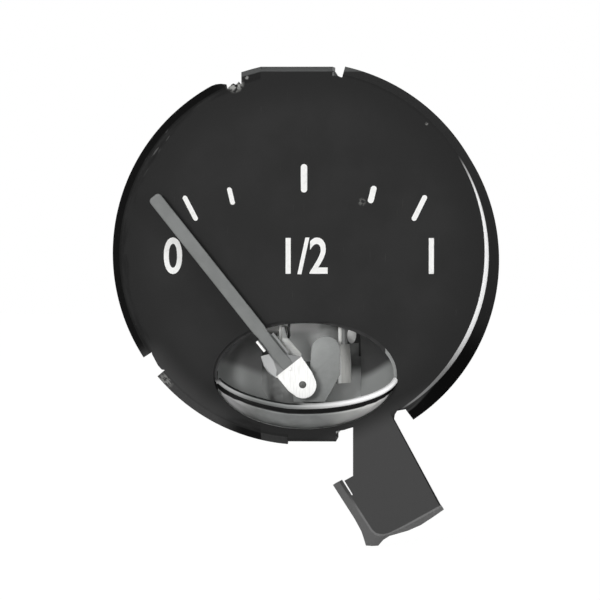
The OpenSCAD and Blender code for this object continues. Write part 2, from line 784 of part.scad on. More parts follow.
// Places on the inner faces of the dial's two folded edges, pointing outwards
module at_flange_rivets() {
    for (x = flange_rivet_x) translate([x, flange_rivet_y, tab_top - sheet]) children();
    for (x = foot_rivet_x) translate([x, flange_rivet_y, -foot_drop + sheet]) mirror([0, 0, 1]) children();
}

module movement_plate() {
    top = tab_top - sheet;
    low = -foot_drop + sheet;
    color(steel_grey) difference() {
        union() {
            slab(plate_y, plate_back) polygon([[tab_left + tab_corner, top], [tab_right, top],
                [plate_half, shoulder_top], [plate_half, shoulder_right], [foot_right, low],
                [foot_left, low], [-plate_half, shoulder_left], [-plate_half, shoulder_top]]);
            translate([tab_left + tab_corner + ear_side, plate_y - ear_len, top - plate_t])
                cube([tab_right - tab_left - tab_corner - 2 * ear_side, ear_len + eps, plate_t]);
            translate([foot_left + ear_side, plate_y - ear_len, low])
                cube([foot_right - foot_left - 2 * ear_side, ear_len + eps, plate_t]);
        }
        at_flange_rivets() cylinder(r = rivet_r, h = 4 * plate_t, center = true);
        for (x = arm_rivet_x) round_bar(x, arm_rivet_z, rivet_r, plate_y / 2, cut);
        anchor_rivet_holes();
        at_studs() round_bar(0, 0, stud_r + bush_wall, plate_y / 2, cut);
    }
}

module flush_rivet() {
    translate([0, 0, -plate_t]) cylinder(r = rivet_r, h = plate_t + sheet - flush_depth);
    translate([0, 0, -plate_t - rivet_head]) cylinder(r = rivet_head_r, h = rivet_head);
    translate([0, 0, sheet - flush_depth]) cylinder(r1 = rivet_r, r2 = rivet_head_r, h = flush_depth);
}

module flange_rivets() {
    color(steel_grey) at_flange_rivets() flush_rivet();
}

// Terminals: two brass studs, insulated from the plate, with their nuts and tags
module ring(r_in, r_out, front, back) {
    difference() {
        round_bar(0, 0, r_out, front, back);
        round_bar(0, 0, r_in, front - 1, back + 1);
    }
}

module terminal_studs() {
    color(brass) at_studs() {
        round_bar(0, 0, thread_r, head_front + head_t, lock_back);
        round_bar(0, 0, stud_r, lock_back, stud_end - stud_chamfer);
        translate([0, stud_end - stud_chamfer, 0]) rotate([-90, 0, 0])
            cylinder(r1 = stud_r, r2 = stud_r - stud_chamfer, h = stud_chamfer);
        round_bar(0, 0, stud_r + head_rim, head_front, head_front + head_t);
    }
}

module solder_tags() {
    color("#c8c4b4") for (side = [-1, 1]) translate([side * stud_half, 0, 0]) difference() {
        slab(solder_front, bush_front) {
            circle(stud_r + solder_rim);
            translate([-solder_w / 2, side < 0 ? 0 : -solder_tail]) square([solder_w, solder_tail]);
        }
        round_bar(0, 0, stud_r, -cut, cut);
    }
}

module stud_bushes() {
    color(fibre_red) at_studs() {
        ring(stud_r, stud_r + bush_rim, bush_front, plate_y);
        ring(stud_r, stud_r + bush_wall, plate_y, plate_back);
    }
}

module cut_corners(half_w, half_h, c) {
    polygon([[half_w - c, -half_h], [half_w, c - half_h], [half_w, half_h - c], [half_w - c, half_h],
        [c - half_w, half_h], [-half_w, half_h - c], [-half_w, c - half_h], [c - half_w, -half_h]]);
}

module terminal_board() {
    color(fibre_red) difference() {
        slab(plate_back, board_back) cut_corners(plate_half, board_h / 2, 1);
        at_studs() round_bar(0, 0, stud_r + stud_gap, plate_y / 2, cut);
    }
}

module hex_outline() {
    circle(r = nut_af / (2 * cos(30)), $fn = 6);
}

module nuts(front) {
    at_studs() difference() {
        slab(front, front + nut_t) hex_outline();
        round_bar(0, 0, thread_r, -cut, cut);
    }
}

module plain_washers() {
    color(steel_grey) at_studs() ring(stud_r + stud_gap, washer_r, board_back, washer_back);
}

module hex_nuts() {
    color(brass) nuts(washer_back);
}

blade_rim = 0.5;
blade_corner = 1;

module blade_tags() {
    color("#c8c4b4") for (side = [-1, 1]) translate([side * stud_half, 0, 0]) difference() {
        slab(nut_back, tag_back) {
            circle(nut_af / 2 + blade_rim);
            polygon([[-blade_w / 2, 0], [blade_w / 2, 0], [blade_w / 2, blade_len - blade_corner],
                [blade_w / 2 - blade_corner, blade_len], [blade_corner - blade_w / 2, blade_len],
                [-blade_w / 2, blade_len - blade_corner]]);
        }
        round_bar(0, 0, stud_r + stud_gap, -cut, cut);
    }
}

split_w = 0.5;

module spring_washers() {
    color(steel_grey) at_studs() difference() {
        ring(stud_r + stud_gap, nut_af / 2 - 0.1, tag_back, spring_back);
        translate([0, tag_back + washer_t / 2, 0.6 - nut_af / 2]) rotate([0, 25, 0])
            cube([split_w, 4 * washer_t, 1.5 * stud_r], center = true);
    }
}

module lock_nuts() {
    color(brass) nuts(spring_back);
}

// Covered wires, soldered to the tags inside
module lead_wire_left() {
    tag = [-stud_half, solder_front, solder_hole];
    start = coil_end + [2 * lead_r, wire_end, 0];
    color(cover_black) tube(smooth_path([start, start + [0, 0.7, 0], start + [0, 1.6, 0],
        start + [-1.31, 2.7, -0.3], tag + [2.7, -1.7, 2], tag + [0.6, -1.5, 0.4], tag + [0, -0.8, 0],
        tag], 3), lead_r, 8);
}

module lead_wire_right() {
    tag = [stud_half, solder_front, -solder_hole];
    off = (strip_t + anchor_t) / 2;
    along = strip_w + 0.9;
    seat = [comp_x + off * cos(comp_turn) + along * sin(comp_turn),
        strip_y - off * sin(comp_turn) + along * cos(comp_turn), anchor_z + anchor_h / 2];
    color(cover_black) tube(smooth_path([tag, tag + [0, -0.8, 0], tag + [0, -1.6, -0.7],
        (tag + seat) / 2 + [0.3, -0.6, 0.2], seat + [0, 0, 1.4], seat + [0, 0, 0.7], seat], 3), lead_r, 8);
}

dial();
pivot_bowl();
pointer();
pointer_hub();
crank_pin();
pivot_pin();
pivot_collar();
pivot_arm();
arm_rivets();
active_strip();
drive_hook();
hook_rivets();
insulating_sleeve();
heater_winding();
heater_tail();
bimetal_bridge();
compensator_strip();
bridge_rivets();
anchor_bracket();
anchor_pad();
anchor_rivets();
movement_plate();
flange_rivets();
terminal_studs();
stud_bushes();
solder_tags();
terminal_board();
plain_washers();
hex_nuts();
blade_tags();
spring_washers();
lock_nuts();
lead_wire_left();
lead_wire_right();
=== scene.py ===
import json
import math
from functools import partial

import bmesh
import bpy
from mathutils import Matrix, Vector


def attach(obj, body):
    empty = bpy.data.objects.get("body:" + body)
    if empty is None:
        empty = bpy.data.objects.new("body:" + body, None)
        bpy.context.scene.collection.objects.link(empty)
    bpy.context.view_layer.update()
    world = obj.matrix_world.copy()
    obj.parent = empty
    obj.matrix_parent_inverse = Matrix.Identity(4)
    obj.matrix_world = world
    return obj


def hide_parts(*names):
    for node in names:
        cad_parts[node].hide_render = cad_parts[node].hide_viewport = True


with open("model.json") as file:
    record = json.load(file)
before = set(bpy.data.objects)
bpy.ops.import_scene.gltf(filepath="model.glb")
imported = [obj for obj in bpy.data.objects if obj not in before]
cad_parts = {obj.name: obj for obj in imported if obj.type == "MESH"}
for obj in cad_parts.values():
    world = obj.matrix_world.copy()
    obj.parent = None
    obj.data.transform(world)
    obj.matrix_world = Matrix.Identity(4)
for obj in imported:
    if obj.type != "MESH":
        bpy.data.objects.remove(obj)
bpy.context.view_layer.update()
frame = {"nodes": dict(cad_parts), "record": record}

# Studio
# A pale floor in white surroundings, with a soft lamp in front on the left, a strip at the right for the
# rim and the bead, and a lamp low in front that looks into the bowl. The camera stands in front.
MM = 0.001
STUDIO_MIDDLE = Vector((-0.44, 0, -6.7)) * MM
LARGER, TIMES = [("Math", {"operation": name}) for name in ("MAXIMUM", "MULTIPLY")]


def hex_colour(code):
    """The linear colour of an sRGB hex value."""
    channels = [int(code[i:i + 2], 16) / 255 for i in (0, 2, 4)]
    return [c / 12.92 if c <= 0.04045 else ((c + 0.055) / 1.055) ** 2.4 for c in channels] + [1]


def feed(node, *inputs, **named):
    """Gives a node's inputs, in order or by name, a number, a hex colour, or what another node puts out."""
    sockets = [node.inputs[name.replace("_", " ")] for name in named]
    for socket, value in (*zip(node.inputs, inputs), *zip(sockets, named.values())):
        if isinstance(value, bpy.types.Node):
            value = value.outputs[0]
        if isinstance(value, bpy.types.NodeSocket):
            node.id_data.links.new(value, socket)
        else:
            socket.default_value = hex_colour(value) if isinstance(value, str) else value
    return node


def add(tree, kind, *inputs, **named):
    """Adds a node and feeds it. A kind is the node's type with its settings."""
    type_name, settings = kind
    node = tree.nodes.new("ShaderNode" + type_name)
    for name, value in settings.items():
        setattr(node, name, value)
    return feed(node, *inputs, **named)


def aim(thing, place, target):
    thing.location = place
    thing.rotation_euler = (target - place).to_track_quat("-Z", "Y").to_euler()
    bpy.context.scene.collection.objects.link(thing)


def around(azimuth, elevation, distance):
    """A place round the object; azimuth 0 is in front, and a positive one goes to the right."""
    a, e = math.radians(azimuth), math.radians(elevation)
    return STUDIO_MIDDLE + distance * Vector(
        (math.sin(a) * math.cos(e), -math.cos(a) * math.cos(e), math.sin(e)))


camera = bpy.data.objects.new("camera", bpy.data.cameras.new("camera"))
camera.data.sensor_width = 36
camera.data.lens = 288
camera.data.clip_start = 0.01
aim(camera, around(2.5, 2, 0.7), STUDIO_MIDDLE)
bpy.context.scene.camera = camera
bpy.context.scene.view_settings.view_transform = "Standard"


def softbox(name, azimuth, elevation, distance, width, height, power):
    lamp = bpy.data.objects.new(name, bpy.data.lights.new(name, "AREA"))
    lamp.data.shape = "RECTANGLE"
    lamp.data.size, lamp.data.size_y = width, height
    lamp.data.energy = power
    aim(lamp, around(azimuth, elevation, distance), STUDIO_MIDDLE)


softbox("front_lamp", -22, 12, 1.1, 0.3, 0.3, 5.0)
softbox("strip_lamp", 58, 2, 0.8, 0.1, 0.7, 2.6)
softbox("low_lamp", 12, -18, 1.0, 0.3, 0.2, 4.0)

world = bpy.data.worlds.new("white_surroundings")
bpy.context.scene.world = world
world.use_nodes = True
world.node_tree.nodes.clear()


def seen_rays(node):
    """1 for what the camera sees, also in a reflection or through glass, and 0 for light."""
    rays = node(("LightPath", {})).outputs
    direct = node(LARGER, rays["Is Camera Ray"], rays["Is Glossy Ray"])
    return node(LARGER, direct, rays["Is Transmission Ray"])


node = partial(add, world.node_tree)
strength = node(("MapRange", {}), seen_rays(node), To_Min=0.38, To_Max=1.0)
node(("OutputWorld", {}), node(("Background", {}), "ffffff", strength))

floor_mesh = bmesh.new()
bmesh.ops.create_grid(floor_mesh, x_segments=1, y_segments=1, size=0.9,
                      matrix=Matrix.Translation((0, 0, -43 * MM)))
floor = bpy.data.objects.new("floor", bpy.data.meshes.new("floor"))
floor_mesh.to_mesh(floor.data)
floor_mesh.free()
bpy.context.scene.collection.objects.link(floor)

# Matt white board under the object: white to the camera, and it keeps the object's shadow.
floor_board = bpy.data.materials.new("white_board")
floor_board.use_nodes = True
node = partial(add, floor_board.node_tree)
board = feed(floor_board.node_tree.nodes["Principled BSDF"],
             Base_Color="e9e9e9", Roughness=0.9, Specular_IOR_Level=0.1)
glow = node(("Emission", {}), "ffffff", 1.06)
mix = node(("MixShader", {}), node(TIMES, seen_rays(node), 0.92), board, glow)
feed(floor_board.node_tree.nodes["Material Output"], mix)
floor.data.materials.append(floor_board)

# Dial
# One stamping of 0.6 mm steel sheet, stoved in charcoal enamel: a flat face with a bent rim, two edges
# folded back to carry the movement, an opening for the bowl, and a leg with folded flanges.
body_of = {node: body for body, nodes in frame["record"]["behaviour"]["bodies"].items() for node in nodes}

PLUS, MINUS, OVER, SMALLER, ABOVE, BELOW, SIZE, ROOT, ANGLE, DEGREES = [
    ("Math", {"operation": name}) for name in ("ADD", "SUBTRACT", "DIVIDE", "MINIMUM", "GREATER_THAN",
                                               "LESS_THAN", "ABSOLUTE", "SQRT", "ARCTAN2", "DEGREES")]
ALONG, DISTANCE = [("VectorMath", {"operation": name}) for name in ("DOT_PRODUCT", "DISTANCE")]
SPLIT, JOIN, STRETCH = ("SeparateXYZ", {}), ("CombineXYZ", {}), ("Mapping", {})
EASE, MIX = ("MapRange", {"interpolation_type": "SMOOTHSTEP"}), ("MixRGB", {})
NOISE, BUMP = ("TexNoise", {}), ("Bump", {})


def show(work, name, material, *nodes, like=None, smooth=32):
    """Makes the mesh a piece that stands for its CAD nodes, on their body and with this material."""
    home = like or nodes[0]
    mesh = bpy.data.meshes.new(name)
    work.to_mesh(mesh)
    work.free()
    mesh.materials.append(material)
    mesh.shade_smooth()
    mesh.set_sharp_from_angle(angle=math.radians(smooth))
    piece = bpy.data.objects.new(name, mesh)
    bpy.context.scene.collection.objects.link(piece)
    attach(piece, body_of[home])
    if nodes:
        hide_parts(*nodes)
    return piece


def begin(name, colour, **sockets):
    """Starts a material: gives it, what adds a node to it, its shader, and object coordinates."""
    material = bpy.data.materials.new(name)
    material.use_nodes = True
    shader = feed(material.node_tree.nodes["Principled BSDF"], Base_Color=colour, **sockets)
    node = partial(add, material.node_tree)
    return material, node, shader, node(("TexCoord", {})).outputs["Object"]


def millimetres(node, place):
    """The three coordinates of a place, in millimetres."""
    return [node(OVER, axis, MM) for axis in node(SPLIT, place).outputs]


def grains(width):
    """The scale of a pattern whose grains are so many millimetres wide."""
    return 1 / (width * MM)


def within(node, *edges):
    """How far a place is inside all these soft edges: each is a value, where it starts and where it ends."""
    share = node(EASE, *edges[0])
    for edge in edges[1:]:
        share = node(TIMES, share, node(EASE, *edge))
    return share


def pull(work, edges, move):
    """Draws a row of edges out into a new row, and moves each of its corners."""
    made = bmesh.ops.extrude_edge_only(work, edges=edges)["geom"]
    corners = {g for g in made if isinstance(g, bmesh.types.BMVert)}
    for corner in corners:
        corner.co = move(corner.co.copy())
    return [g for g in made if isinstance(g, bmesh.types.BMEdge) and set(g.verts) <= corners]


def pull_through(work, row, lines):
    """Draws a row of edges out through lines of places, which each have one for every corner of the row."""
    for before, after in zip(lines, lines[1:]):
        row = pull(work, row, lambda p: after[min(range(len(before)), key=lambda i: (before[i] - p).length)])


DIAL_R, SHEET, RIM_R, RIM_BACK = 26.7, 0.6, 28.0, 2.2
CREASE = math.atan2(RIM_BACK, RIM_R - DIAL_R)
CREASE_R = 0.55
FLAT_EDGE = DIAL_R - CREASE_R * math.tan(CREASE / 2)


def on_dial(angle, radius):
    a = math.radians(angle)
    return (radius * math.cos(a), radius * math.sin(a))


def rim_points(start, end):
    """Places along the flat's edge, from which the rim is drawn out."""
    count = max(2, round((end - start) / 1.5))
    return [on_dial(start + (end - start) * i / count, FLAT_EDGE) for i in range(count + 1)]


right_rim, left_rim, low_rim = rim_points(-56.5, 77.5), rim_points(114.5, 213), rim_points(220, 265.3)
leg_edge = [(7.3, -25.27), (7.3, -32.4), (6.05, -33.1), (7.25, -35.1), (7.1, -35.3)]
fold_left = [(7.1, -35.3), (7.95, -36.63), (8.8, -37.95), (9.65, -39.28)]
leg_corner = [(10.25, -40.2), (10.75, -40.6), (11.3, -40.75), (11.85, -40.75), (12.4, -40.65)]
fold_right = [(12.9, -40.45), (14.69, -39.5), (16.48, -38.5), (18.27, -37.5), (20.05, -36.5)]
top_fold = [(4.3 - 10.4 * i / 8, 26.7) for i in range(9)]
low_fold = [(-2.3 + 7.1 * i / 6, -26.8) for i in range(7)]
tear = [(-9.45, 24.7), (-9.85, 24.55), (-10.25, 24.62), (-10.6, 24.5)]
outline = (right_rim
           + [(5.55, 25.75), (5.1, 25.95), (4.3, 25.95)] + top_fold
           + [(-6.1, 27.3), (-7.4, 26.98), (-9, 26.5), (-9, 24.65)] + tear + [(-10.85, 24.35)]
           + left_rim
           + [on_dial(*place) for place in ((213.6, 26.5), (215.3, 26.6), (217.6, 26.75), (219.3, 26.7))]
           + low_rim + low_fold + [(4.8, -25.86), (5.9, -25.7)]
           + leg_edge + fold_left[1:] + leg_corner + fold_right
           + [(13.3, -24.05), (13.4, -23.4), (13.75, -22.85), (14.2, -22.62)])
OPENING_X, OPENING_Z, OPENING_A, OPENING_B, OPENING_TOP = 0.3, -17.6, 13.4, 8, -9.9
opening = []
for i in range(72):
    a = math.tau * i / 72
    opening.append((OPENING_X + OPENING_A * math.cos(a), min(OPENING_Z + OPENING_B * math.sin(a), OPENING_TOP)))

dial = bmesh.new()


def corner_at(work, x, z, y=0.0):
    return work.verts.new((x * MM, y * MM, z * MM))


def closed_row(work, corners):
    return [work.edges.new((corners[i], corners[(i + 1) % len(corners)])) for i in range(len(corners))]


outer = [corner_at(dial, x, z) for x, z in outline]
edges = closed_row(dial, outer) + closed_row(dial, [corner_at(dial, x, z) for x, z in opening])
bmesh.ops.triangle_fill(dial, use_beauty=True, use_dissolve=False, edges=edges, normal=(0, -1, 0))


def row_of(points):
    """The outline's edges along these points."""
    start = min(range(len(outline)), key=lambda i: math.dist(outline[i], points[0]))
    corners = outer[start:start + len(points)]
    return [edge for edge in edges if edge.verts[0] in corners and edge.verts[1] in corners]


def outwards(point, distance, back):
    """Moves a corner away from the dial's centre line by a distance, and back."""
    flat = Vector((point.x, 0, point.z))
    flat += flat.normalized() * distance * MM
    return Vector((flat.x, back * MM, flat.z))


for rim in (right_rim, left_rim, low_rim):
    row, reach = row_of(rim), 0
    for step in range(1, 7):
        a = CREASE * step / 6
        gone, reach = reach, CREASE_R * math.sin(a)
        back = CREASE_R * (1 - math.cos(a))
        row = pull(dial, row, lambda p: outwards(p, reach - gone, back))
    row = pull(dial, row, lambda p: outwards(p, RIM_R - FLAT_EDGE - reach, RIM_BACK))


FOLD_R, FOLD_BACK = 0.6, 11


def fold_back(row, side):
    """Folds a row back round a bend, up or down, and draws it on to its depth."""
    for step in range(1, 6):
        a, before = [math.radians(18 * count) for count in (step, step - 1)]
        move = Vector((0, math.cos(before) - math.cos(a), side * (math.sin(a) - math.sin(before))))
        row = pull(dial, row, lambda p: p + move * FOLD_R * MM)
    pull(dial, row, lambda p: Vector((p.x, FOLD_BACK * MM, p.z)))


fold_back(row_of(top_fold), 1)
fold_back(row_of(low_fold), -1)

# The leg's flange is drawn from one row: down the left side, round a blunt corner and up to the right
LEFT_OUT, RIGHT_OUT = Vector((-0.842, 0, -0.539)), Vector((0.488, 0, -0.873))
leg_flange = ([(fold, 1.6 * LEFT_OUT, 2.2) for fold in fold_left[:-1]]
              + [(fold_left[-1], Vector((-1.2, 0, -1.35)), 2.1)]
              + [(fold, Vector((out_x - fold[0], 0, out_z - fold[1])), drop) for fold, out_x, out_z, drop in
                 zip(leg_corner, (8.75, 9.14, 10.0, 10.95, 11.7), (-41.5, -42.7, -42.75, -42.7, -41.85),
                     (2.0, 1.6, 1.4, 1.4, 1.5))]
              + [(fold_right[0], Vector((-0.3, 0, -0.85)), 1.8), (fold_right[1], 1.2 * RIGHT_OUT, 2.1)]
              + [(fold, reach * RIGHT_OUT, 2.2) for fold, reach in zip(fold_right[2:], (1.4, 1.25, 1.05))])
FLANGE_R = 0.55


def flange_place(fold, out, drop, share):
    """A place on the flange: round its bend while the share is under 1, and its free edge from there."""
    reach = out.length
    bend = math.atan2(drop, reach)
    a = bend * min(share, 1)
    along = FLANGE_R * math.sin(a) if share <= 1 else reach
    back = FLANGE_R * (1 - math.cos(a)) if share <= 1 else drop
    return (Vector((fold[0], back, fold[1])) + out.normalized() * along) * MM


pull_through(dial, row_of([fold for fold, out, drop in leg_flange]),
             [[flange_place(*corner, share) for corner in leg_flange] for share in (0, 0.25, 0.5, 0.75, 1, 2)])

# The left flange runs on past the slot
fold_start = Vector((fold_left[0][0], 0, fold_left[0][1]))
flange_end = [e for e in dial.edges if len(e.link_faces) == 1 and all(
    abs((v.co / MM - fold_start).dot(Vector((0.539, 0, -0.842)))) < 0.02
    and (v.co / MM - fold_start).dot(LEFT_OUT) > -0.01 for v in e.verts)]
pull(dial, flange_end, lambda p: p + Vector((-1.47, 0, 2.3)) * MM)

# The stamping tore a little metal out at the upper left notch
row = row_of(tear)
for step in range(1, 4):
    row = pull(dial, row, lambda p: p + MM * Vector(
        (-0.05 * (-1) ** step, 0.2, 0.1 + 0.09 * math.sin(p.x * 9000 * step))))

# The right rim bulges below, and the left one is dinted beside its upper notch
for corner in dial.verts:
    angle = math.degrees(math.atan2(corner.co.z, corner.co.x))
    radius = math.hypot(corner.co.x, corner.co.z) / MM
    down_rim = max(0, min(1, (radius - DIAL_R) / (RIM_R - DIAL_R)))
    if -57 < angle < 30 and 26.3 < radius < 29:
        flat_more = 0.75 * (1 - down_rim) * max(0, min(1, (-44 - angle) / 10))
        move = 1.1 * down_rim * math.cos(math.radians(angle + 60)) + flat_more
        corner.co = outwards(corner.co, move, corner.co.y / MM)
    elif 113 < angle < 119 and radius > 26.9:
        corner.co = outwards(corner.co, -down_rim * ((119 - angle) / 5) ** 2, corner.co.y / MM)

# Stoved enamel on steel: near-black, matt, faintly uneven and scratched, with painted highlights and painted
# shade.
enamel, node, shader, place = begin("stoved_charcoal_enamel", "333333")
x, y, z = millimetres(node, place)
radius = node(ROOT, node(PLUS, node(TIMES, x, x), node(TIMES, z, z)))
turned = node(DEGREES, node(ANGLE, z, x))
down_leg = node(ALONG, place, (446, 0, -895)).outputs["Value"]
across_leg = node(ALONG, place, (881.5, 0, 472)).outputs["Value"]
around_rim = node(JOIN, node(OVER, turned, 7), node(TIMES, radius, 1.8))
clouds = node(EASE, node(NOISE, place, Scale=grains(9), Detail=3), 0.35, 0.65)
fine = node(NOISE, place, Scale=grains(0.22), Detail=3)

beside_fold = node(ABOVE, node(SIZE, node(PLUS, x, 0.8)), 5.4)
low_left = (turned, -108, -120), (turned, -152, -144)
elsewhere = node(MINUS, 1.0, within(node, *low_left))
on_rim = node(TIMES, within(node, (y, 0.02, 0.4), (radius, 30.5, 29.5)), beside_fold)
ragged = node(TIMES, node(MINUS, node(NOISE, around_rim, Scale=0.7, Detail=3), 0.5), 4.0)
shadow = within(node, (node(PLUS, radius, ragged), 25.6, 27.0), (x, 8, -6))
shadow = node(TIMES, node(TIMES, shadow, beside_fold), elsewhere)
hole_wall = node(TIMES, within(node, (y, 0.02, 0.05), (y, 0.59, 0.56)), node(BELOW, radius, 25.5))
tab_line = node(SMALLER, node(PLUS, node(TIMES, x, 0.276), 28.98), 27.3)
streak = node(NOISE, node(STRETCH, place, Rotation=(0, math.radians(40), 0), Scale=(1, 1, 1 / 45)),
              Scale=grains(0.12), Detail=1)
black_side = within(node, (across_leg, 0.16, 0.3), (down_leg, 26, 27.5), (y, 0.1, 0.0))
layers = [
    (node(EASE, radius, 20, 26.5), "1c1c1c"),
    (node(EASE, down_leg, 24.6, 28.5), "444444"),
    # The leg's flanges are painted lighter: painted light where they face the lamps.
    (within(node, (down_leg, 28, 30), (y, 0.05, 0.35)), "6e6e6e"),
    # Painted shade: the rim is near black, lighter at the lower left, with a ragged band of painted shadow
    # inside it on the left.
    (within(node, *low_left, (radius, 23.5, 27)), "3a3a3a"),
    (shadow, "0b0b0b"),
    (on_rim, node(MIX, elsewhere, "343434", "0b0b0b")),
    (hole_wall, "2c2c2c"),
    # A lighter band along the top of the tab: painted light on its bend.
    (node(EASE, node(MINUS, z, tab_line), -0.8, -0.6), "505151"),
    (node(TIMES, node(EASE, streak, 0.75, 0.78), 0.15), "7c7c7a"),
    (node(TIMES, black_side, node(ABOVE, x, 12.5)), "060606")]

# Chips show bare metal in spots round a place, as far as a reach, and from so far back
chips = node(EASE, node(NOISE, place, Scale=grains(0.5), Detail=4), 0.42, 0.56)
flat_place = node(JOIN, x, 0, z)
for middle, reach, depth, tone in (
        ((-10.0, 0, 24.9), 1.6, -1, "a2a29f"), ((-21.5, 0, -15.8), 1.3, 0.01, "dcdcda"),
        ((-20.2, 0, -18.6), 1.5, 0.1, "8a8a88"), ((-8.2, 0, 25.7), 0.35, -1, "8a8a88"),
        ((8.6, 0, 7.6), 0.7, -1, "626260"), ((18.0, 0, 19.0), 0.3, -1, "7a7a78")):
    gap = node(DISTANCE, flat_place, middle).outputs["Value"]
    spots = within(node, (gap, reach, reach * 0.4), (y, depth, depth + 0.1))
    layers.append((node(TIMES, spots, chips), tone))

scuffs = within(node, (node(NOISE, around_rim, Scale=1), 0.58, 0.66), (radius, 25.6, 26.2),
                (radius, 27.2, 26.7), (turned, 132, 140), (turned, 156, 150))
# A painted highlight along the bend of the leg's flange.
fold_highlight = within(node, (down_leg, 33.5, 38), (y, 0.0, 0.04), (y, 0.3, 0.2))

# A painted highlight along the crease: a near-white line that is widest and brightest at the right
half_width = node(SMALLER, node(EASE, turned, 36, -10, 0.1, 0.33), node(EASE, turned, -62, -30, 0.1, 0.33))
highlight_peak = within(node, (turned, 33, 16), (turned, -42, -18))
off_crease = node(SIZE, node(MINUS, radius, DIAL_R + 0.06))
crease_highlight = within(node, (node(MINUS, half_width, off_crease), -0.02, 0.05),
              (turned, 33, 28), (turned, -58, -54), (y, 0.6, 0.5))
faces = node(SPLIT, node(("NewGeometry", {})).outputs["Normal"])
layers += [
    (node(TIMES, scuffs, 0.7), "5e5e5e"),
    (fold_highlight, "808080"),
    (crease_highlight, node(MIX, highlight_peak, "7c7c7c", "ffffff")),
    (node(EASE, faces.outputs["Y"], 0.2, 0.4), node(MIX, clouds, "565857", "6a6c6b"))]
coat = node(MIX, clouds, "222222", "272727")
for share, tone in layers:
    coat = node(MIX, share, coat, tone)

away = node(LARGER, node(BELOW, x, 0), node(EASE, turned, -12, -36))
dull = node(LARGER, hole_wall, node(TIMES, node(TIMES, on_rim, elsewhere), away))
feed(shader, Base_Color=coat, Roughness=node(EASE, fine, 0.3, 0.7, 0.5, 0.62),
     Specular_IOR_Level=node(EASE, dull, 0, 1, 0.14, 0.01),
     Normal=node(BUMP, Strength=0.5, Distance=0.012 * MM, Height=fine))


def round_edges(piece, width, angle):
    """A live bevel on a piece's sharp edges, so that they catch the light."""
    edge = piece.modifiers.new("edges", "BEVEL")
    edge.width = width * MM
    edge.segments = 2
    edge.limit_method = "ANGLE"
    edge.angle_limit = math.radians(angle)


dial_piece = show(dial, "dial_stamping", enamel, "dial", smooth=35)
wall = dial_piece.modifiers.new("sheet", "SOLIDIFY")
wall.thickness = SHEET * MM
wall.offset = -1
wall.use_even_offset = True
round_edges(dial_piece, 0.06, 50)
dial_piece.modifiers.new("flat_shading", "WEIGHTED_NORMAL").keep_sharp = True

# Print on the dial
# Five marks and the numbers 0, 1/2 and 1, screen printed in white ink.
INK = 0.03


def rounded_bar(work, a, b, width):
    """A flat bar with round ends that reaches from one place on the dial to another."""
    a, b = Vector((a[0], 0, a[1])) * MM, Vector((b[0], 0, b[1])) * MM
    inset = (b - a).normalized() * width / 2 * MM
    a, b = a + inset, b - inset
    disc = bmesh.ops.create_circle(work, cap_ends=True, segments=24, radius=width / 2 * MM,
                                   matrix=Matrix.Translation(a) @ Matrix.Rotation(math.radians(90), 4, "X"))
    for corner in disc["verts"]:
        if (corner.co - a).dot(b - a) > 0:
            corner.co += b - a


def turn_to_front(faces):
    for face in faces:
        face.normal_update()
        if face.normal.y > 0:
            face.normal_flip()


def draw(work, curve, place=Matrix()):
    """Adds the mesh of a curve or a text to the work."""
    drawer = bpy.data.objects.new("drawer", curve)
    bpy.context.scene.collection.objects.link(drawer)
    bpy.context.view_layer.update()
    mesh = bpy.data.meshes.new_from_object(drawer.evaluated_get(bpy.context.evaluated_depsgraph_get()))
    mesh.transform(place)
    work.from_mesh(mesh)
    bpy.data.objects.remove(drawer)
    bpy.data.curves.remove(curve)
    bpy.data.meshes.remove(mesh)


ink, node, shader, place = begin("white_screen_ink", "f2f2f0", Roughness=0.6, Specular_IOR_Level=0.3)
thin = node(EASE, node(NOISE, place, Scale=grains(0.8)), 0.2, 0.5)
feed(shader, Base_Color=node(MIX, thin, "ececea", "fcfcfa"))

marks = bmesh.new()
for outer_end, inner_end, width in (
        ((-17.394, 8.471), (-15.528, 4.87), 0.7), ((-10.818, 9.71), (-10.206, 7.188), 0.7),
        ((0.146, 13.122), (0.146, 8.981), 0.95), ((10.41, 9.944), (9.769, 7.436), 0.87),
        ((17.875, 8.573), (16.038, 4.884), 0.75)):
    rounded_bar(marks, outer_end, inner_end, width)
FONT_SIZE, BASELINE, NARROWED = 7.3, -2.75, 0.78
for text, middle in (("0", -19.0), ("1/2", 0.05), ("1", 18.7)):
    letters = bpy.data.curves.new("number", "FONT")
    letters.body = text
    letters.size = FONT_SIZE * MM
    letters.align_x = "CENTER"
    letters.resolution_u = 6
    letters.offset = 0.12 * MM
    draw(marks, letters, Matrix.Translation((middle * MM, 0, BASELINE * MM))
         @ Matrix.Rotation(math.radians(90), 4, "X") @ Matrix.Diagonal((NARROWED, 1, 1, 1)))
bmesh.ops.remove_doubles(marks, verts=marks.verts, dist=1e-7)
turn_to_front(marks.faces)
bmesh.ops.translate(marks, verts=marks.verts, vec=(0, -INK * MM, 0))
bmesh.ops.solidify(marks, geom=marks.faces[:], thickness=INK * MM * 1.2)
show(marks, "dial_print", ink, like="dial")

# Bowl
# A pressing of 0.4 mm steel in dull zinc, welded behind the dial's opening. Its lower wall stands out in
# front of the dial, and its lip is rolled into a bead; the back has a window for the strips.
BOWL = Vector((OPENING_X, 1.5, OPENING_Z))
BOWL_A, BOWL_B, BOWL_WALL, GROOVE_DEPTH, BEAD_R = 13.39, 7.95, 0.4, 0.34, 0.42
LIP = math.radians(33)
LIFT, LIFT_LEFT, LIFT_FULL, LIFT_RIGHT = 0.76, -13.1, -12.2, -2.0


def lip_lift(x):
    """How far the lip is bent up at this place along its left half."""
    rise = max(0, min(1, (x - LIFT_LEFT) / (LIFT_FULL - LIFT_LEFT)))
    return LIFT * rise * rise * (3 - 2 * rise) * max(0, LIFT_RIGHT - x) / (LIFT_RIGHT - LIFT_LEFT)


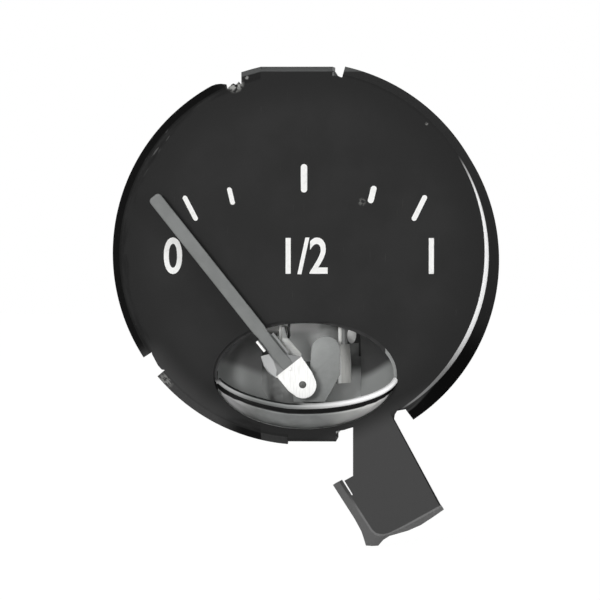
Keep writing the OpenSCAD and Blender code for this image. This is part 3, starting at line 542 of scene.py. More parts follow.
def zinc_plate(name, in_bowl=False):
    """Dull zinc on pressed steel: faint crystals and stains. The bowl's carries painted light and shade, with
    black painted shadow in its groove.
    """
    material, node, shader, place = begin(name, "7d7f7e", Metallic=0.45, Specular_IOR_Level=0.3)
    crystals = node(EASE, node(NOISE, place, Scale=grains(1.6), Detail=4), 0.32, 0.68)
    stains = node(EASE, node(NOISE, place, Scale=grains(6)), 0.4, 0.7)
    tone = node(MIX, crystals, "7b7d7c", "8a8c8b")
    tone = node(MIX, node(TIMES, stains, 0.3), tone, "686964")
    if in_bowl:
        x, y, z = millimetres(node, place)
        up, back = node(MINUS, z, BOWL.z), node(MINUS, y, BOWL.y)
        sideways = node(SIZE, node(MINUS, x, BOWL.x))
        front, at_back = (y, 0.6, 0.2), (y, 1.2, 1.8)

        # Where the bent lip would be, and how far below it a place is
        lift = node(EASE, x, LIFT_LEFT, LIFT_FULL, 0, LIFT / (LIFT_RIGHT - LIFT_LEFT))
        lift = node(TIMES, node(LARGER, node(MINUS, LIFT_RIGHT, x), 0.0), lift)
        from_lip = node(MINUS, up, lift)
        spoke = node(ROOT, node(PLUS, node(TIMES, from_lip, from_lip), node(TIMES, back, back)))
        turned = node(ANGLE, node(TIMES, from_lip, -1.0), node(TIMES, back, -1.0))
        below_lip = node(TIMES, node(MINUS, turned, LIP), spoke)
        out = node(OVER, sideways, BOWL_A)
        lip_r = node(ROOT, node(LARGER, node(MINUS, 1.0, node(TIMES, out, out)), 0.0))
        over_lip = node(PLUS, from_lip, node(TIMES, lip_r, BOWL_B * math.sin(LIP)))

        # Inside, shade lies above a line that rises to both sides and dips at the right
        right_dip = within(node, (x, 6, 9), (x, 13.5, 9))
        shade_line = node(MINUS, node(TIMES, sideways, 0.38), 3.0)
        shade_line = node(MINUS, shade_line, node(TIMES, right_dip, 0.9))
        shaded = node(EASE, node(MINUS, up, shade_line), -0.6, 0.9)
        shade = node(MIX, node(EASE, x, -6, 8), "6c6c6c", "494949")

        left_end = node(EASE, x, -8.5, -12.0, 0, 0.3)
        groove = within(node, (below_lip, 0.36, 0.44), (node(MINUS, below_lip, left_end), 1.75, 1.62))
        upper_edge = within(node, (up, -1.3, -0.5), (y, 1.8, 1.5))
        upper_edge = node(TIMES, upper_edge, node(BELOW, x, 12.0))
        edge_tone = node(MIX, node(EASE, x, -11.5, -12.5), "303030", "3a3a3a")
        # Painted light and shade: light inside below the shade line and painted shade above it; the outer wall
        # lighter at both ends, brightest at the right; a painted highlight on the bead, white at the right;
        # black painted shadow in the groove and in a thin line above the bead; a dark upper edge.
        for share, colour in (
                (within(node, at_back), node(MIX, shaded, "a0a2a1", shade)),
                (within(node, (x, 2, 11), front), "e2e2e0"),
                (within(node, (x, -6.5, -10.5), front), "bababa"),
                (within(node, (below_lip, 0.4, 0.32), (back, -0.8, -1.4), (x, -12, 8, 0.3, 1)),
                 node(MIX, node(EASE, x, -5, 10), "6e706f", "ffffff")),
                (node(LARGER, groove, upper_edge), node(MIX, groove, edge_tone, "040404")),
                (within(node, (over_lip, 0.14, 0.22), (back, -0.9, -1.3), (x, 0.8, -0.8), (x, -12.3, -11.7)),
                 "1a1c1b")):
            tone = node(MIX, share, tone, colour)
        feed(shader, Metallic=node(EASE, *at_back, 0.45, 0.05))
    fine = node(NOISE, place, Scale=grains(0.18))
    feed(shader, Base_Color=tone, Roughness=node(EASE, crystals, 0, 1, 0.5, 0.62),
         Normal=node(BUMP, Strength=0.5, Distance=0.01 * MM, Height=fine))
    return material


def lip_point(degrees):
    """A place on the bowl's lip, which runs from its right end to its left end."""
    t = math.radians(degrees)
    return BOWL + Vector((BOWL_A * math.cos(t), -BOWL_B * math.sin(t) * math.cos(LIP),
                          -BOWL_B * math.sin(t) * math.sin(LIP)))


bowl = bmesh.new()
chain = [bowl.verts.new(lip_point(t) * MM) for t in range(0, 181, 5)]
chain_edges = [bowl.edges.new(pair) for pair in zip(chain, chain[1:])]
row = chain + chain_edges
# The shell is spun from its lip, in fine steps across the groove
for turn, steps in ((16, 16), (261, 56)):
    row = bmesh.ops.spin(bowl, geom=row, cent=BOWL * MM, axis=(1, 0, 0),
                         angle=math.radians(turn), steps=steps)["geom_last"]
for corner in bowl.verts:
    spoke = Vector((0, corner.co.y / MM - BOWL.y, corner.co.z / MM - BOWL.z))
    below_lip = (math.atan2(-spoke.z, -spoke.y) - LIP) * spoke.length
    if 0.4 < below_lip < 1.8 and spoke.length > 1:
        depth = GROOVE_DEPTH * min(1, (below_lip - 0.4) / 0.15, (1.8 - below_lip) / 0.2)
        corner.co -= spoke.normalized() * depth * MM
bmesh.ops.remove_doubles(bowl, verts=bowl.verts, dist=1e-6)


def cut_at(work, point, normal):
    bmesh.ops.bisect_plane(work, geom=work.verts[:] + work.edges[:] + work.faces[:], dist=1e-7,
                           plane_co=Vector(point) * MM, plane_no=normal)


# The shell is open above the lip in front, and at the back by a window with one corner left in
WINDOW_LEFT, WINDOW_RIGHT, WINDOW_LOW, WINDOW_FRONT = -6.5, 8.4, -22.6, 1.0
CORNER_Z, CORNER_LEAN = -20.2, 0.6
for point, normal in (((0, SHEET, 0), (0, 1, 0)), (BOWL, (0, 0, 1)), ((WINDOW_LEFT, 0, 0), (1, 0, 0)),
                      ((WINDOW_RIGHT, 0, 0), (1, 0, 0)), ((0, 0, WINDOW_LOW), (0, 0, 1)),
                      ((0, WINDOW_FRONT, 0), (0, 1, 0)), ((WINDOW_LEFT, 0, CORNER_Z), (1, 0, CORNER_LEAN))):
    cut_at(bowl, point, normal)
gone = []
for face in bowl.faces:
    c = face.calc_center_median() / MM
    in_window = WINDOW_LEFT < c.x < WINDOW_RIGHT and c.y > WINDOW_FRONT and c.z > WINDOW_LOW
    in_corner = c.x - WINDOW_LEFT + CORNER_LEAN * (c.z - CORNER_Z) < 0
    if (c.y < SHEET and c.z > BOWL.z) or (in_window and not in_corner):
        gone.append(face)
bmesh.ops.delete(bowl, geom=gone, context="FACES")
bmesh.ops.recalc_face_normals(bowl, faces=bowl.faces)
bowl.normal_update()
if sum((f.calc_center_median() - BOWL * MM).dot(f.normal) for f in bowl.faces) < 0:
    bmesh.ops.reverse_faces(bowl, faces=bowl.faces)
FLANGE_REACH = 25.7
flange = []
for half_width, half_height in ((BOWL_A - 0.45, BOWL_B - 0.45), (14.6, 9.2)):
    ring = bmesh.ops.create_circle(bowl, segments=96, radius=1)["verts"]
    for corner in ring:
        flat = Vector((BOWL.x + half_width * corner.co.x, 0, BOWL.z + half_height * corner.co.y))
        flat *= min(1, FLANGE_REACH / flat.length)
        corner.co = Vector((flat.x, SHEET, flat.z)) * MM
    flange += list({e for v in ring for e in v.link_edges})
ring_faces = bmesh.ops.bridge_loops(bowl, edges=flange)["faces"]
turn_to_front(ring_faces)
bmesh.ops.solidify(bowl, geom=bowl.faces[:], thickness=BOWL_WALL * MM)


def draw_wire(work, points, radius, rings=3, smooth=False):
    """Adds a round wire with closed ends, along places in millimetres."""
    curve = bpy.data.curves.new("wire", "CURVE")
    curve.dimensions = "3D"
    curve.bevel_depth = radius * MM
    curve.bevel_resolution = rings
    curve.use_fill_caps = True
    spline = curve.splines.new("NURBS" if smooth else "POLY")
    spline.points.add(len(points) - 1)
    for knot, point in zip(spline.points, points):
        knot.co = (*(Vector(point) * MM), 1)
    if smooth:
        spline.order_u = 4
        spline.use_endpoint_u = True
        curve.resolution_u = 6
    draw(work, curve)


draw_wire(bowl, [lip_point(10 + 149.5 * i / 78) for i in range(79)], BEAD_R, 4)
for corner in bowl.verts:
    in_front = max(0, min(1, (0.2 - corner.co.y / MM) / 0.8))
    corner.co.z += in_front * lip_lift(corner.co.x / MM) * MM
show(bowl, "bowl_pressing", zinc_plate("dull_zinc_plate_painted_light", True), "pivot_bowl", smooth=40)

# Pointer
# A flat steel bar in satin grey enamel with a round tip, clasped at its root by the folded hub.
PIVOT = Vector((0, 0, -19)) * MM
LEAN = math.radians(38.4)
AS_IT_RESTS = Matrix.Translation(PIVOT) @ Matrix.Rotation(-LEAN, 4, "Y")

grey, node, shader, place = begin("satin_grey_enamel", "838484", Specular_IOR_Level=0.4)
clouds = node(EASE, node(NOISE, place, Scale=grains(3), Detail=3), 0.35, 0.65)
fine = node(NOISE, place, Scale=grains(0.2))
feed(shader, Base_Color=node(MIX, clouds, "757776", "7d7f7e"),
     Roughness=node(EASE, fine, 0.3, 0.7, 0.42, 0.52),
     Normal=node(BUMP, Strength=0.5, Distance=0.006 * MM, Height=fine))

TIP_R, BAR_FRONT, BAR_SHEET = 0.6, -1.85, 0.5
bar = bmesh.new()
sides = [(-0.85, 3.36), (0.85, 3.36), (0.85, 9.4), (0.98, 10.2)]
for turn, middle in ((0, 0.38), (90, -0.38)):
    for a in range(turn, turn + 91, 15):
        sides.append((middle + TIP_R * math.cos(math.radians(a)), 34.4 + TIP_R * math.sin(math.radians(a))))
sides += [(-0.98, 10.2), (-0.85, 9.4)]
face = bar.faces.new([corner_at(bar, across, along, BAR_FRONT) for across, along in sides])
turn_to_front([face])
bmesh.ops.solidify(bar, geom=[face], thickness=BAR_SHEET * MM)
front_rim = [e for e in bar.edges if all(v.co.y < -1.8 * MM for v in e.verts)]
bmesh.ops.bevel(bar, geom=front_rim, offset=0.16 * MM, offset_type="OFFSET", segments=4, profile=0.5,
                affect="EDGES", material=-1)
cut_at(bar, (0, 0, 5.6), (0, 0, 1))
for corner in bar.verts:
    if corner.co.z < 3.7 * MM and corner.co.y < -1.5 * MM:
        corner.co.y = -1.42 * MM
bmesh.ops.transform(bar, matrix=AS_IT_RESTS, verts=bar.verts)
show(bar, "pointer_bar", grey, "pointer")

# Hub
# A channel folded from 0.35 mm bright-plated strip: its tab turns on the pivot, a splayed wall and two
# short lips clasp the bar.
channel, node, shader, place = begin("bright_tab_and_grey_channel", "e8e8e5", Specular_IOR_Level=0.4)
x, y, z = millimetres(node, place)
z = node(MINUS, z, PIVOT.z / MM)
along = node(MINUS, node(TIMES, z, math.cos(LEAN)), node(TIMES, x, math.sin(LEAN)))
across = node(PLUS, node(TIMES, x, math.cos(LEAN)), node(TIMES, z, math.sin(LEAN)))
# The left lip is left bright against the grey channel: a painted highlight.
bright_lip = node(TIMES, within(node, (along, 6.9, 7.0), (y, -1.9, -2.1)), node(BELOW, across, 0))
grey_part = node(MINUS, node(EASE, along, 3.28, 3.36), bright_lip)
# The splayed wall is painted lighter grey: painted light.
lit_wall = node(TIMES, node(EASE, y, -1.45, -1.6), node(BELOW, across, -0.8))
drawn = node(NOISE, node(STRETCH, place, Rotation=(0, math.radians(38), 0), Scale=(1, 1, 1 / 14)),
             Scale=grains(0.1))
metal = node(MIX, node(EASE, drawn, 0.35, 0.65), "e0e0de", "eeeeec")
# A dark ring round the pivot hole: painted shadow.
from_pivot = node(ROOT, node(PLUS, node(TIMES, x, x), node(TIMES, z, z)))
metal = node(MIX, node(EASE, from_pivot, 0.56, 0.5), metal, "3a3a3a")
feed(shader, Base_Color=node(MIX, grey_part, metal, node(MIX, lit_wall, "8b8c8c", "c4c5c5")),
     Metallic=node(EASE, grey_part, 0, 1, 0.55, 0.0), Roughness=node(EASE, grey_part, 0, 1, 0.4, 0.5))

hub = bmesh.new()
HUB_FACE, HUB_SHEET, TAB_R = -1.35, 0.35, 1.95
floor_line = [(TAB_R * math.cos(math.radians(a)), -0.1 + TAB_R * math.sin(math.radians(a)))
              for a in range(-160, -19, 14)]
fold_line = [(-0.95, 6.5), (-0.97, 5.2), (-1.4, 3.95), (-2.25, 3.1)]
wall_middle = [(-1.45, 6.75, -1.95), (-1.7, 5.35, -1.95), (-2.05, 4.1, -1.8), (-2.3, 3.12, -1.45)]
wall_edge = [(-1.9, 6.95, -2.7), (-2.45, 5.6, -2.7), (-2.6, 4.4, -2.3), (-2.36, 3.15, -1.6)]
floor_line += [(2.2, 0.6), (2.4, 3.3), (0.9, 4.9), (0.9, 8.6), (0.5, 9.2), (-0.5, 9.2), (-0.9, 9.1),
               (-0.9, 7.2)] + fold_line + [(-2.2, 0.6)]
hub_corners = [corner_at(hub, *place, HUB_FACE) for place in floor_line]
hub_edges = closed_row(hub, hub_corners)
holes = []
for middle, radius in ((0, 0.4), (2.9, 0.25)):
    ring = bmesh.ops.create_circle(hub, segments=24, radius=radius * MM, matrix=Matrix.Translation(
        (0, HUB_FACE * MM, middle * MM)) @ Matrix.Rotation(math.radians(90), 4, "X"))["verts"]
    holes += list({e for v in ring for e in v.link_edges})
bmesh.ops.triangle_fill(hub, use_beauty=True, edges=hub_edges + holes, normal=(0, -1, 0))


def hub_row(points):
    """The hub's edges along these places."""
    places = [Vector((across, HUB_FACE, along)) for across, along in points]
    corners = [min(hub_corners, key=lambda v: (v.co / MM - place).length) for place in places]
    return [e for e in hub_edges if e.verts[0] in corners and e.verts[1] in corners]


pull_through(hub, hub_row(fold_line),
             [[Vector((across, depth, along)) * MM for across, along, depth in line]
              for line in ([(*place, HUB_FACE) for place in fold_line], wall_middle, wall_edge)])
for side, ends, height in ((-1, (9.1, 7.2), 1.05), (1, (4.9, 8.6), 0.65)):
    row = hub_row([(side * 0.9, end) for end in ends])
    for move in ((side * 0.12, -0.12, 0), (side * 0.08, -height, 0)):
        row = pull(hub, row, lambda p: p + Vector(move) * MM)
bmesh.ops.recalc_face_normals(hub, faces=hub.faces)
hub.normal_update()
if sum(f.normal.y * f.calc_area() for f in hub.faces) > 0:
    bmesh.ops.reverse_faces(hub, faces=hub.faces)
bmesh.ops.solidify(hub, geom=hub.faces[:], thickness=HUB_SHEET * MM)
bmesh.ops.transform(hub, matrix=AS_IT_RESTS, verts=hub.verts)
round_edges(show(hub, "pointer_channel", channel, "pointer_hub", smooth=35), 0.04, 40)

# Pins and collar at the pivot
# A steel pivot pin riveted through the arm, a brass spacing collar, and a crank pin finished like the tab.
steel, node, shader, place = begin("plated_steel", "a4a4a2", Metallic=0.9)
rolled = node(NOISE, node(STRETCH, place, Scale=(1, 1, 1 / 8)), Scale=grains(0.15))
patches = node(NOISE, place, Scale=grains(1.2), Detail=3)
feed(shader, Base_Color=node(MIX, node(EASE, rolled, 0.35, 0.65), "949492", "aeaeac"),
     Roughness=node(EASE, patches, 0.3, 0.7, 0.32, 0.48),
     Normal=node(BUMP, Strength=0.4, Distance=0.004 * MM, Height=rolled))

brass, node, shader, place = begin("turned_brass", "b59a5a", Metallic=0.95)
tarnish = node(EASE, node(NOISE, place, Scale=grains(2.2), Detail=4), 0.4, 0.75)
rings = node(NOISE, node(STRETCH, place, Scale=(1 / 30, 1, 1 / 30)), Scale=grains(0.12), Detail=1)
feed(shader, Base_Color=node(MIX, tarnish, "b59a5a", "8b6c3a"),
     Roughness=node(EASE, tarnish, 0, 1, 0.28, 0.45),
     Normal=node(BUMP, Strength=0.4, Distance=0.006 * MM, Height=rings))


def soften(node, material, width=0.06, angle=30):
    """Shows a node's shape with its edges rounded off."""
    work = bmesh.new()
    work.from_mesh(frame["nodes"][node].data)
    bmesh.ops.remove_doubles(work, verts=work.verts, dist=1e-7)
    bmesh.ops.dissolve_limit(work, angle_limit=math.radians(0.5), verts=work.verts, edges=work.edges)
    sharp = [e for e in work.edges if len(e.link_faces) == 2 and e.calc_face_angle() > math.radians(angle)]
    bmesh.ops.bevel(work, geom=sharp, offset=width * MM, offset_type="OFFSET", segments=2, profile=0.5,
                    affect="EDGES", material=-1, clamp_overlap=True)
    return show(work, node + "_finished", material, node, smooth=angle)


# Dark steel: the pin's end is dark against the tab.
dark_pin, node, shader, place = begin("dark_pin_steel", "565654", Metallic=0.7)
wear = node(NOISE, place, Scale=grains(0.2))
feed(shader, Base_Color=node(MIX, node(EASE, wear, 0.35, 0.65), "4a4a48", "626260"),
     Roughness=node(EASE, wear, 0.3, 0.7, 0.45, 0.6))

soften("pivot_pin", dark_pin, 0.08)
soften("pivot_collar", brass, 0.05)
soften("crank_pin", channel, 0.015)

# Pivot arm
# A steel bracket in dull zinc that comes forward from the movement plate and up behind the tab; two
# rivets hold its foot.
soften("pivot_arm", zinc_plate("dull_zinc_plate"), 0.12)
soften("arm_rivets", steel, 0.1)

# Active strip and hook
# The heated bimetal strip: two alloys rolled together, seen as two tones on its edges. A small bright
# hook, riveted to its lower end, drives the crank pin.
def bimetal(name, x, y, turn, metallic=0.4):
    """Two bonded alloys, with their joint along the middle of a strip at this place and turn."""
    material, node, shader, place = begin(name, "949590", Metallic=metallic)
    a = math.radians(turn)
    middle = x * math.cos(a) - y * math.sin(a)
    across = node(ALONG, place, (math.cos(a) / MM, -math.sin(a) / MM, 0)).outputs["Value"]
    tone = node(MIX, node(EASE, across, middle - 0.02, middle + 0.02), "fafbf9", "e2e2de")
    grain = node(NOISE, node(STRETCH, place, Scale=(1, 1, 1 / 30)), Scale=grains(0.1))
    feed(shader, Base_Color=node(MIX, node(EASE, grain, 0.45, 0.75, 0, 0.35), tone, "8a8b89"),
         Roughness=node(EASE, grain, 0.3, 0.7, 0.36, 0.5),
         Normal=node(BUMP, Strength=0.5, Distance=0.005 * MM, Height=grain))
    return material


nickel, node, shader, place = begin("satin_nickel_plate", "a0a19f", Metallic=0.3)
drawn = node(NOISE, node(STRETCH, place, Scale=(1 / 8, 1, 1)), Scale=grains(0.12))
upper = node(EASE, node(SPLIT, place).outputs["Z"], -12.5 * MM, -12.1 * MM)
tone = node(MIX, node(EASE, drawn, 0.35, 0.65), "a5a6a4", "b4b5b3")
feed(shader, Base_Color=node(MIX, upper, tone, "6a6b6a"), Roughness=node(EASE, drawn, 0.3, 0.7, 0.4, 0.55),
     Normal=node(BUMP, Strength=0.4, Distance=0.004 * MM, Height=drawn))

STRIP = Vector((-3.35, 3.7, 0))
soften("active_strip", bimetal("active_bimetal", STRIP.x, STRIP.y, 0), 0.05)
soften("drive_hook", nickel, 0.05)
soften("hook_rivets", steel, 0.05)

# Sleeve and heater
# A flat sleeve of woven glass tape on the strip, wound with 18 turns of bare resistance wire. A covered
# tail earths its lower end on the hook.
tape, node, shader, place = begin("woven_glass_tape", "d8d2bd", Roughness=0.85)
THREAD_GAP = 0.32
weave = [node(("TexWave", {"bands_direction": axis, "wave_profile": "SIN"}), place,
              Scale=math.tau / (20 * THREAD_GAP * MM), Distortion=1.5, Detail=1).outputs["Fac"]
         for axis in ("Y", "Z")]
cross = node(LARGER, *weave)
scorch = node(EASE, node(NOISE, place, Scale=grains(3)), 0.45, 0.75)
thread = node(MIX, cross, "b7ae95", "ded8c6")
feed(shader, Base_Color=node(MIX, node(TIMES, scorch, 0.5), thread, "a58d66"),
     Normal=node(BUMP, Strength=0.8, Distance=0.05 * MM, Height=cross))
soften("insulating_sleeve", tape, 0.03)

resistance, node, shader, place = begin("oxidised_resistance_wire", "9a6a48", Metallic=0.9)
heat = node(EASE, node(NOISE, place, Scale=grains(1.5), Detail=3), 0.35, 0.7)
drawn = node(NOISE, place, Scale=grains(0.08))
feed(shader, Base_Color=node(MIX, heat, "a4714a", "6d4a3a"), Roughness=node(EASE, heat, 0, 1, 0.36, 0.55),
     Normal=node(BUMP, Strength=0.5, Distance=0.004 * MM, Height=drawn))

TURNS, PITCH, COIL_R, COIL_FLAT, COIL_LOW, WIRE_R = 18, 0.9, 0.66, 1.4, -8.1, 0.15
HALF_ROUND = [(COIL_R * math.cos(math.radians(a)), COIL_FLAT + COIL_R * math.sin(math.radians(a)))
              for a in range(0, 181, 18)]
ONE_TURN = ([(COIL_R, 0), (COIL_R, COIL_FLAT / 2)] + HALF_ROUND
            + [(-COIL_R, COIL_FLAT / 2), (-COIL_R, 0), (-COIL_R, -COIL_FLAT / 2)]
            + [(-across, -depth) for across, depth in HALF_ROUND] + [(COIL_R, -COIL_FLAT / 2)])
steps = [math.dist(p, q) for p, q in zip(ONE_TURN, ONE_TURN[1:] + ONE_TURN[:1])]
coil_start, coil_end = Vector((-2.69, 3.25, -8.1)), Vector((-2.69, 4.15, 8.1))
coil = [coil_start]
for turn in range(TURNS):
    for i, (across, depth) in enumerate(ONE_TURN):
        gone = sum(steps[:i]) / sum(steps)
        coil.append(STRIP + Vector((across, depth, COIL_LOW + PITCH * (turn + gone))))
coil += [STRIP + Vector((COIL_R, 0, COIL_LOW + PITCH * TURNS)), coil_end]
winding = bmesh.new()
draw_wire(winding, coil, WIRE_R, 2)
show(winding, "heater_coil", resistance, "heater_winding", smooth=60)

covering, node, shader, place = begin("black_lacquered_covering", "181818", Specular_IOR_Level=0.4)
weave = node(NOISE, place, Scale=grains(0.12))
feed(shader, Base_Color=node(MIX, node(EASE, weave, 0.35, 0.65), "131313", "242424"),
     Roughness=node(EASE, weave, 0.3, 0.7, 0.4, 0.6),
     Normal=node(BUMP, Strength=0.6, Distance=0.012 * MM, Height=weave))

LEAD_R = 0.2
tail = bmesh.new()
draw_wire(tail, [coil_start, coil_start + Vector((0, -0.5, 0)), (-2.2, 2.1, -8.9), (-2.0, 1.6, -10.0),
                 (-2.25, 1.35, -11.1), (-2.0, 1.4, -11.9), (-2.2, 1.5, -12.35), (-2.7, 1.5, -12.35)],
          LEAD_R, smooth=True)
show(tail, "heater_tail_covered", covering, "heater_tail", smooth=60)

# Bridge and compensator strip
# A steel cross-piece joins the two strips into a U; the second strip is riveted to it, turned a little,
# and corrects for the air's warmth. Its free end is twisted further.
soften("bimetal_bridge", steel, 0.08)
COMPENSATOR, STRIP_TURN = Vector((5.8, 3.7, 0)), 20
TWIST_FROM, TWIST_TO, TWIST = -12.6, -16.2, -17
# The compensator's bimetal has near-white tones and no metallic shine: painted light that keeps it bright in
# the bowl's shade.
compensator = soften("compensator_strip", bimetal("compensator_bimetal", COMPENSATOR.x, COMPENSATOR.y,
                                                  STRIP_TURN, 0.0), 0.05)
twist = bmesh.new()
twist.from_mesh(compensator.data)
for i in range(5):
    cut_at(twist, (0, 0, TWIST_FROM + (TWIST_TO - TWIST_FROM) * i / 4), (0, 0, 1))
for corner in twist.verts:
    share = max(0, min(1, (TWIST_FROM - corner.co.z / MM) / (TWIST_FROM - TWIST_TO)))
    axis = Vector((COMPENSATOR.x * MM, COMPENSATOR.y * MM, corner.co.z))
    corner.co = axis + Matrix.Rotation(math.radians(TWIST * share), 3, "Z") @ (corner.co - axis)
twist.to_mesh(compensator.data)
twist.free()
soften("bridge_rivets", steel, 0.06)

# Anchor
# A bracket carries the compensator strip from the movement plate, on a black pad that insulates it. Its bright
# plate is dark to the right as painted shade, mid grey at its front edge, and near-white on the ear beside the
# strip as a painted highlight.
anchor_plate, node, shader, place = begin("bright_plate_painted_light", "b8bab8")
EAR_X, EAR_Z, EAR_WIDE, EAR_HIGH = 6.95, -12.0, 0.62, 1.25
ear = node(STRETCH, place, Scale=(1 / (EAR_WIDE * MM), 0, 1 / (EAR_HIGH * MM)))
ear_gap = node(DISTANCE, ear, (EAR_X / EAR_WIDE, 0, EAR_Z / EAR_HIGH)).outputs["Value"]
painted_light = node(EASE, ear_gap, 1.05, 0.9)
out_of_shade = node(EASE, node(SPLIT, place).outputs["X"], 6.5 * MM, 6.3 * MM)
feed(shader, Base_Color=node(MIX, painted_light, node(MIX, out_of_shade, "2e2e2e", "8a8b8a"), "fafaf8"),
     Metallic=node(EASE, painted_light, 0, 1, 0.0, 0.3), Roughness=node(EASE, painted_light, 0, 1, 0.6, 0.4),
     Specular_IOR_Level=node(EASE, painted_light, 0, 1, 0.1, 0.4))
soften("anchor_bracket", anchor_plate, 0.06)
soften("anchor_pad", covering, 0.05)
soften("anchor_rivets", steel, 0.1)

# Movement plate
# A 1 mm steel plate in dull zinc closes the back. Its two ears are riveted to the dial's folded edges,
# by heads that are flush there. Inside, its front is mid grey as painted shade, with painted light where light
# falls on it through the opening and a white painted highlight patch.
plate_zinc, node, shader, place = begin("zinc_plate_with_painted_light_front", "7d7f7e",
                                        Metallic=0.4, Specular_IOR_Level=0.3)
x, y, z = millimetres(node, place)
crystals = node(EASE, node(NOISE, place, Scale=grains(1.6), Detail=4), 0.32, 0.68)
fine = node(NOISE, place, Scale=grains(0.18))
# Painted light on the front: bright where the lamps reach through the opening, a white highlight patch, on mid
# grey painted shade.
low = within(node, (z, -16.6, -18.6), (x, 1.5, 3.5))
middle = within(node, (x, -4.4, -3.4), (x, 5.2, 1.6), (z, -18.4, -17.0))
left = within(node, (z, -16.8, -18.6), (x, -5.0, -6.3))
painted_light = node(LARGER, left, node(LARGER, low, middle))
patch = within(node, (z, -12.2, -11.4), (z, -10.1, -10.8), (x, 2.4, 1.4))
inside = node(MIX, patch, node(MIX, painted_light, "606160", "e2e4e3"), "ffffff")
feed(shader, Base_Color=node(MIX, node(EASE, y, 11.4, 11.2), node(MIX, crystals, "7b7d7c", "8a8c8b"), inside),
     Roughness=node(EASE, crystals, 0, 1, 0.45, 0.58),
     Normal=node(BUMP, Strength=0.5, Distance=0.01 * MM, Height=fine))
soften("movement_plate", plate_zinc, 0.12)
flush_heads = soften("flange_rivets", steel, 0.06)
FOLD_FACE, HEAD_PROUD = 27, 0.04
for corner in flush_heads.data.vertices:
    if abs(corner.co.z) > FOLD_FACE * MM:
        corner.co.z += math.copysign(HEAD_PROUD * MM, corner.co.z)

# Terminals
# Two brass studs stand through fibre bushes. Outside the plate they carry the fibre board, and each a
# plain washer, a nut, a blade tag, a spring washer and a lock nut; inside, a solder tag under its head.
fibre, node, shader, place = begin("vulcanised_fibre", "6b3b2c", Specular_IOR_Level=0.35)
felt = node(NOISE, node(STRETCH, place, Scale=(1 / 5, 1, 1)), Scale=grains(0.25), Detail=4)
feed(shader, Base_Color=node(MIX, node(EASE, felt, 0.35, 0.65), "5d3226", "7b4735"),
     Roughness=node(EASE, felt, 0.3, 0.7, 0.5, 0.68),
     Normal=node(BUMP, Strength=0.5, Distance=0.02 * MM, Height=felt))

STUDS = (-8.5, 8.5)
soften("stud_bushes", fibre, 0.1)


def lathe(work, profile, steps=40, rise=0.0):
    """Turns a profile of (radius, depth) about the y axis, with a rise where it is a thread."""
    chain = [work.verts.new((r * MM, y * MM, 0)) for r, y in profile]
    links = [work.edges.new(pair) for pair in zip(chain, chain[1:])]
    bmesh.ops.spin(work, geom=chain + links, axis=(0, 1, 0), angle=math.tau, steps=steps,
                   dvec=(0, rise * MM / steps, 0), use_merge=not rise)


def set_at_studs(work):
    """Puts what was made about the y axis at the place of each stud."""
    mesh = bpy.data.meshes.new("one")
    work.to_mesh(mesh)
    work.clear()
    for move in (STUDS[0], STUDS[1] - STUDS[0]):
        mesh.transform(Matrix.Translation((move * MM, 0, 0)))
        work.from_mesh(mesh)
    bpy.data.meshes.remove(mesh)


THREAD, THREAD_START, CREST_R, ROOT_R, STUD_END = 0.7, 21.5, 1.99, 1.62, 27.35
studs = bmesh.new()
crests = []
for i in range(10):
    y = THREAD_START + THREAD * i
    crests += [(CREST_R, y), (CREST_R, y + 0.09), (ROOT_R, y + 0.3), (ROOT_R, y + 0.4)]
lathe(studs, crests + [(CREST_R, THREAD_START + THREAD * 10)], 36, THREAD)
bmesh.ops.remove_doubles(studs, verts=studs.verts, dist=1e-6)
for depth, side in ((22.2, -1), (STUD_END, 1)):
    bmesh.ops.bisect_plane(studs, geom=studs.verts[:] + studs.edges[:] + studs.faces[:], dist=1e-7,
                           plane_co=(0, depth * MM, 0), plane_no=(0, side, 0), clear_outer=True)
bmesh.ops.holes_fill(studs, edges=[e for e in studs.edges if len(e.link_faces) == 1], sides=0)
for corner in studs.verts:
    over = corner.co.y / MM - (STUD_END - 0.4)
    radius = math.hypot(corner.co.x, corner.co.z) / MM
    if over > 0 and radius > CREST_R - over:
        corner.co.x *= (CREST_R - over) / radius
        corner.co.z *= (CREST_R - over) / radius
lathe(studs, [(0, 7.8), (2.6, 7.8), (3.15, 7.86), (3.36, 8.1), (3.4, 8.35), (3.4, 9.6), (3.3, 9.8),
              (1.8, 9.8), (1.8, 22.5), (0, 22.5)])
bmesh.ops.recalc_face_normals(studs, faces=studs.faces)
set_at_studs(studs)
bmesh.ops.remove_doubles(studs, verts=studs.verts, dist=1e-7)
show(studs, "terminal_studs_threaded", brass, "terminal_studs", smooth=35)

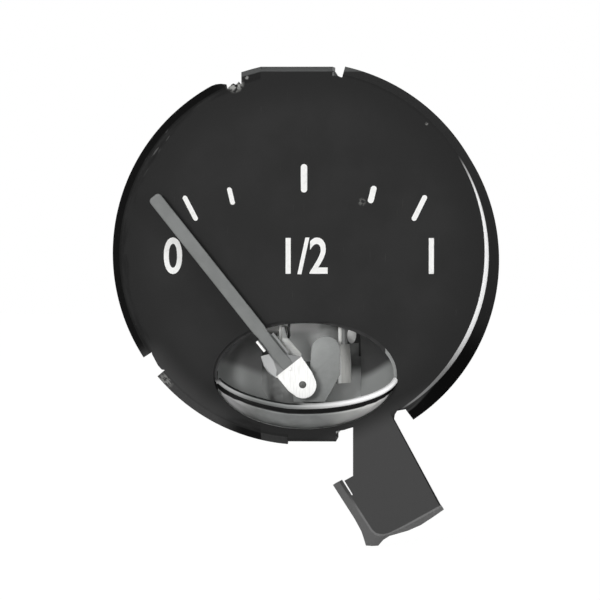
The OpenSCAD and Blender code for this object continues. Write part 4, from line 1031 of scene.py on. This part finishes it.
# A nut is turned: its corners are chamfered, and its bore is countersunk at both ends
BORE_R, SINK_R, FACE_R, HALF_FLATS, NUT_HIGH = 1.8, 2.05, 3.35, 3.5, 3.2
for nuts_name, front in (("hex_nuts", 14.4), ("lock_nuts", 19.2)):
    nuts = bmesh.new()
    rings = []
    for round_r, depth, chamfer in (
            (BORE_R, 0.25, 0), (SINK_R, 0, 0), (FACE_R, 0, 0), (None, 0, 1), (None, NUT_HIGH, -1),
            (FACE_R, NUT_HIGH, 0), (SINK_R, NUT_HIGH, 0), (BORE_R, NUT_HIGH - 0.25, 0)):
        corners = bmesh.ops.create_circle(nuts, segments=48, radius=1)["verts"]
        for i, corner in enumerate(corners):
            a = math.tau * i / 48
            r = round_r or HALF_FLATS / math.cos(a % math.radians(60) - math.radians(30))
            y = front + depth + chamfer * (r - FACE_R) * math.tan(math.radians(30))
            corner.co = Vector((r * math.cos(a), y, r * math.sin(a))) * MM
        rings.append(list({e for v in corners for e in v.link_edges}))
    for one, other in zip(rings, rings[1:] + rings[:1]):
        bmesh.ops.bridge_loops(nuts, edges=one + other)
    bmesh.ops.recalc_face_normals(nuts, faces=nuts.faces)
    set_at_studs(nuts)
    show(nuts, nuts_name + "_chamfered", brass, nuts_name, smooth=35)

tin, node, shader, place = begin("tinned_brass", "c8c4b4", Metallic=0.85)
blotch = node(EASE, node(NOISE, place, Scale=grains(1.4), Detail=4), 0.38, 0.66)
dimples = node(NOISE, place, Scale=grains(0.4))
feed(shader, Base_Color=node(MIX, blotch, "cbc8bb", "aaa58f"), Roughness=node(EASE, blotch, 0, 1, 0.3, 0.48),
     Normal=node(BUMP, Strength=0.5, Distance=0.01 * MM, Height=dimples))
for node_name, material, width in (
        ("solder_tags", tin, 0.06), ("blade_tags", tin, 0.08), ("terminal_board", fibre, 0.15),
        ("plain_washers", steel, 0.08), ("spring_washers", steel, 0.08)):
    soften(node_name, material, width)

# Lead wires
# Covered wires inside the case: one from the left stud to the heater's upper end, one from the right
# stud to the anchor, each soldered to its tag.
left_tag, right_tag = Vector((-8.5, 9.8, 4.8)), Vector((8.5, 9.8, -4.8))
start = coil_end + Vector((0.4, 0.45, 0))
seat = COMPENSATOR + Matrix.Rotation(-math.radians(STRIP_TURN), 3, "Z") @ Vector((0.5, 3.9, -10.75))
for lead_name, route in (
        ("lead_wire_left", [start, start + Vector((0, 0.7, 0)), start + Vector((0, 1.6, 0)),
                            start + Vector((-1.31, 2.7, -0.3)), left_tag + Vector((2.7, -1.7, 2)),
                            left_tag + Vector((0.6, -1.5, 0.4)), left_tag + Vector((0, -0.8, 0)), left_tag]),
        ("lead_wire_right", [right_tag, right_tag + Vector((0, -0.8, 0)), right_tag + Vector((0, -1.6, -0.7)),
                             (right_tag + seat) / 2 + Vector((0.3, -0.6, 0.2)), seat + Vector((0, 0, 1.4)),
                             seat + Vector((0, 0, 0.7)), seat])):
    lead = bmesh.new()
    draw_wire(lead, route, LEAD_R, smooth=True)
    show(lead, lead_name + "_covered", covering, lead_name, smooth=60)
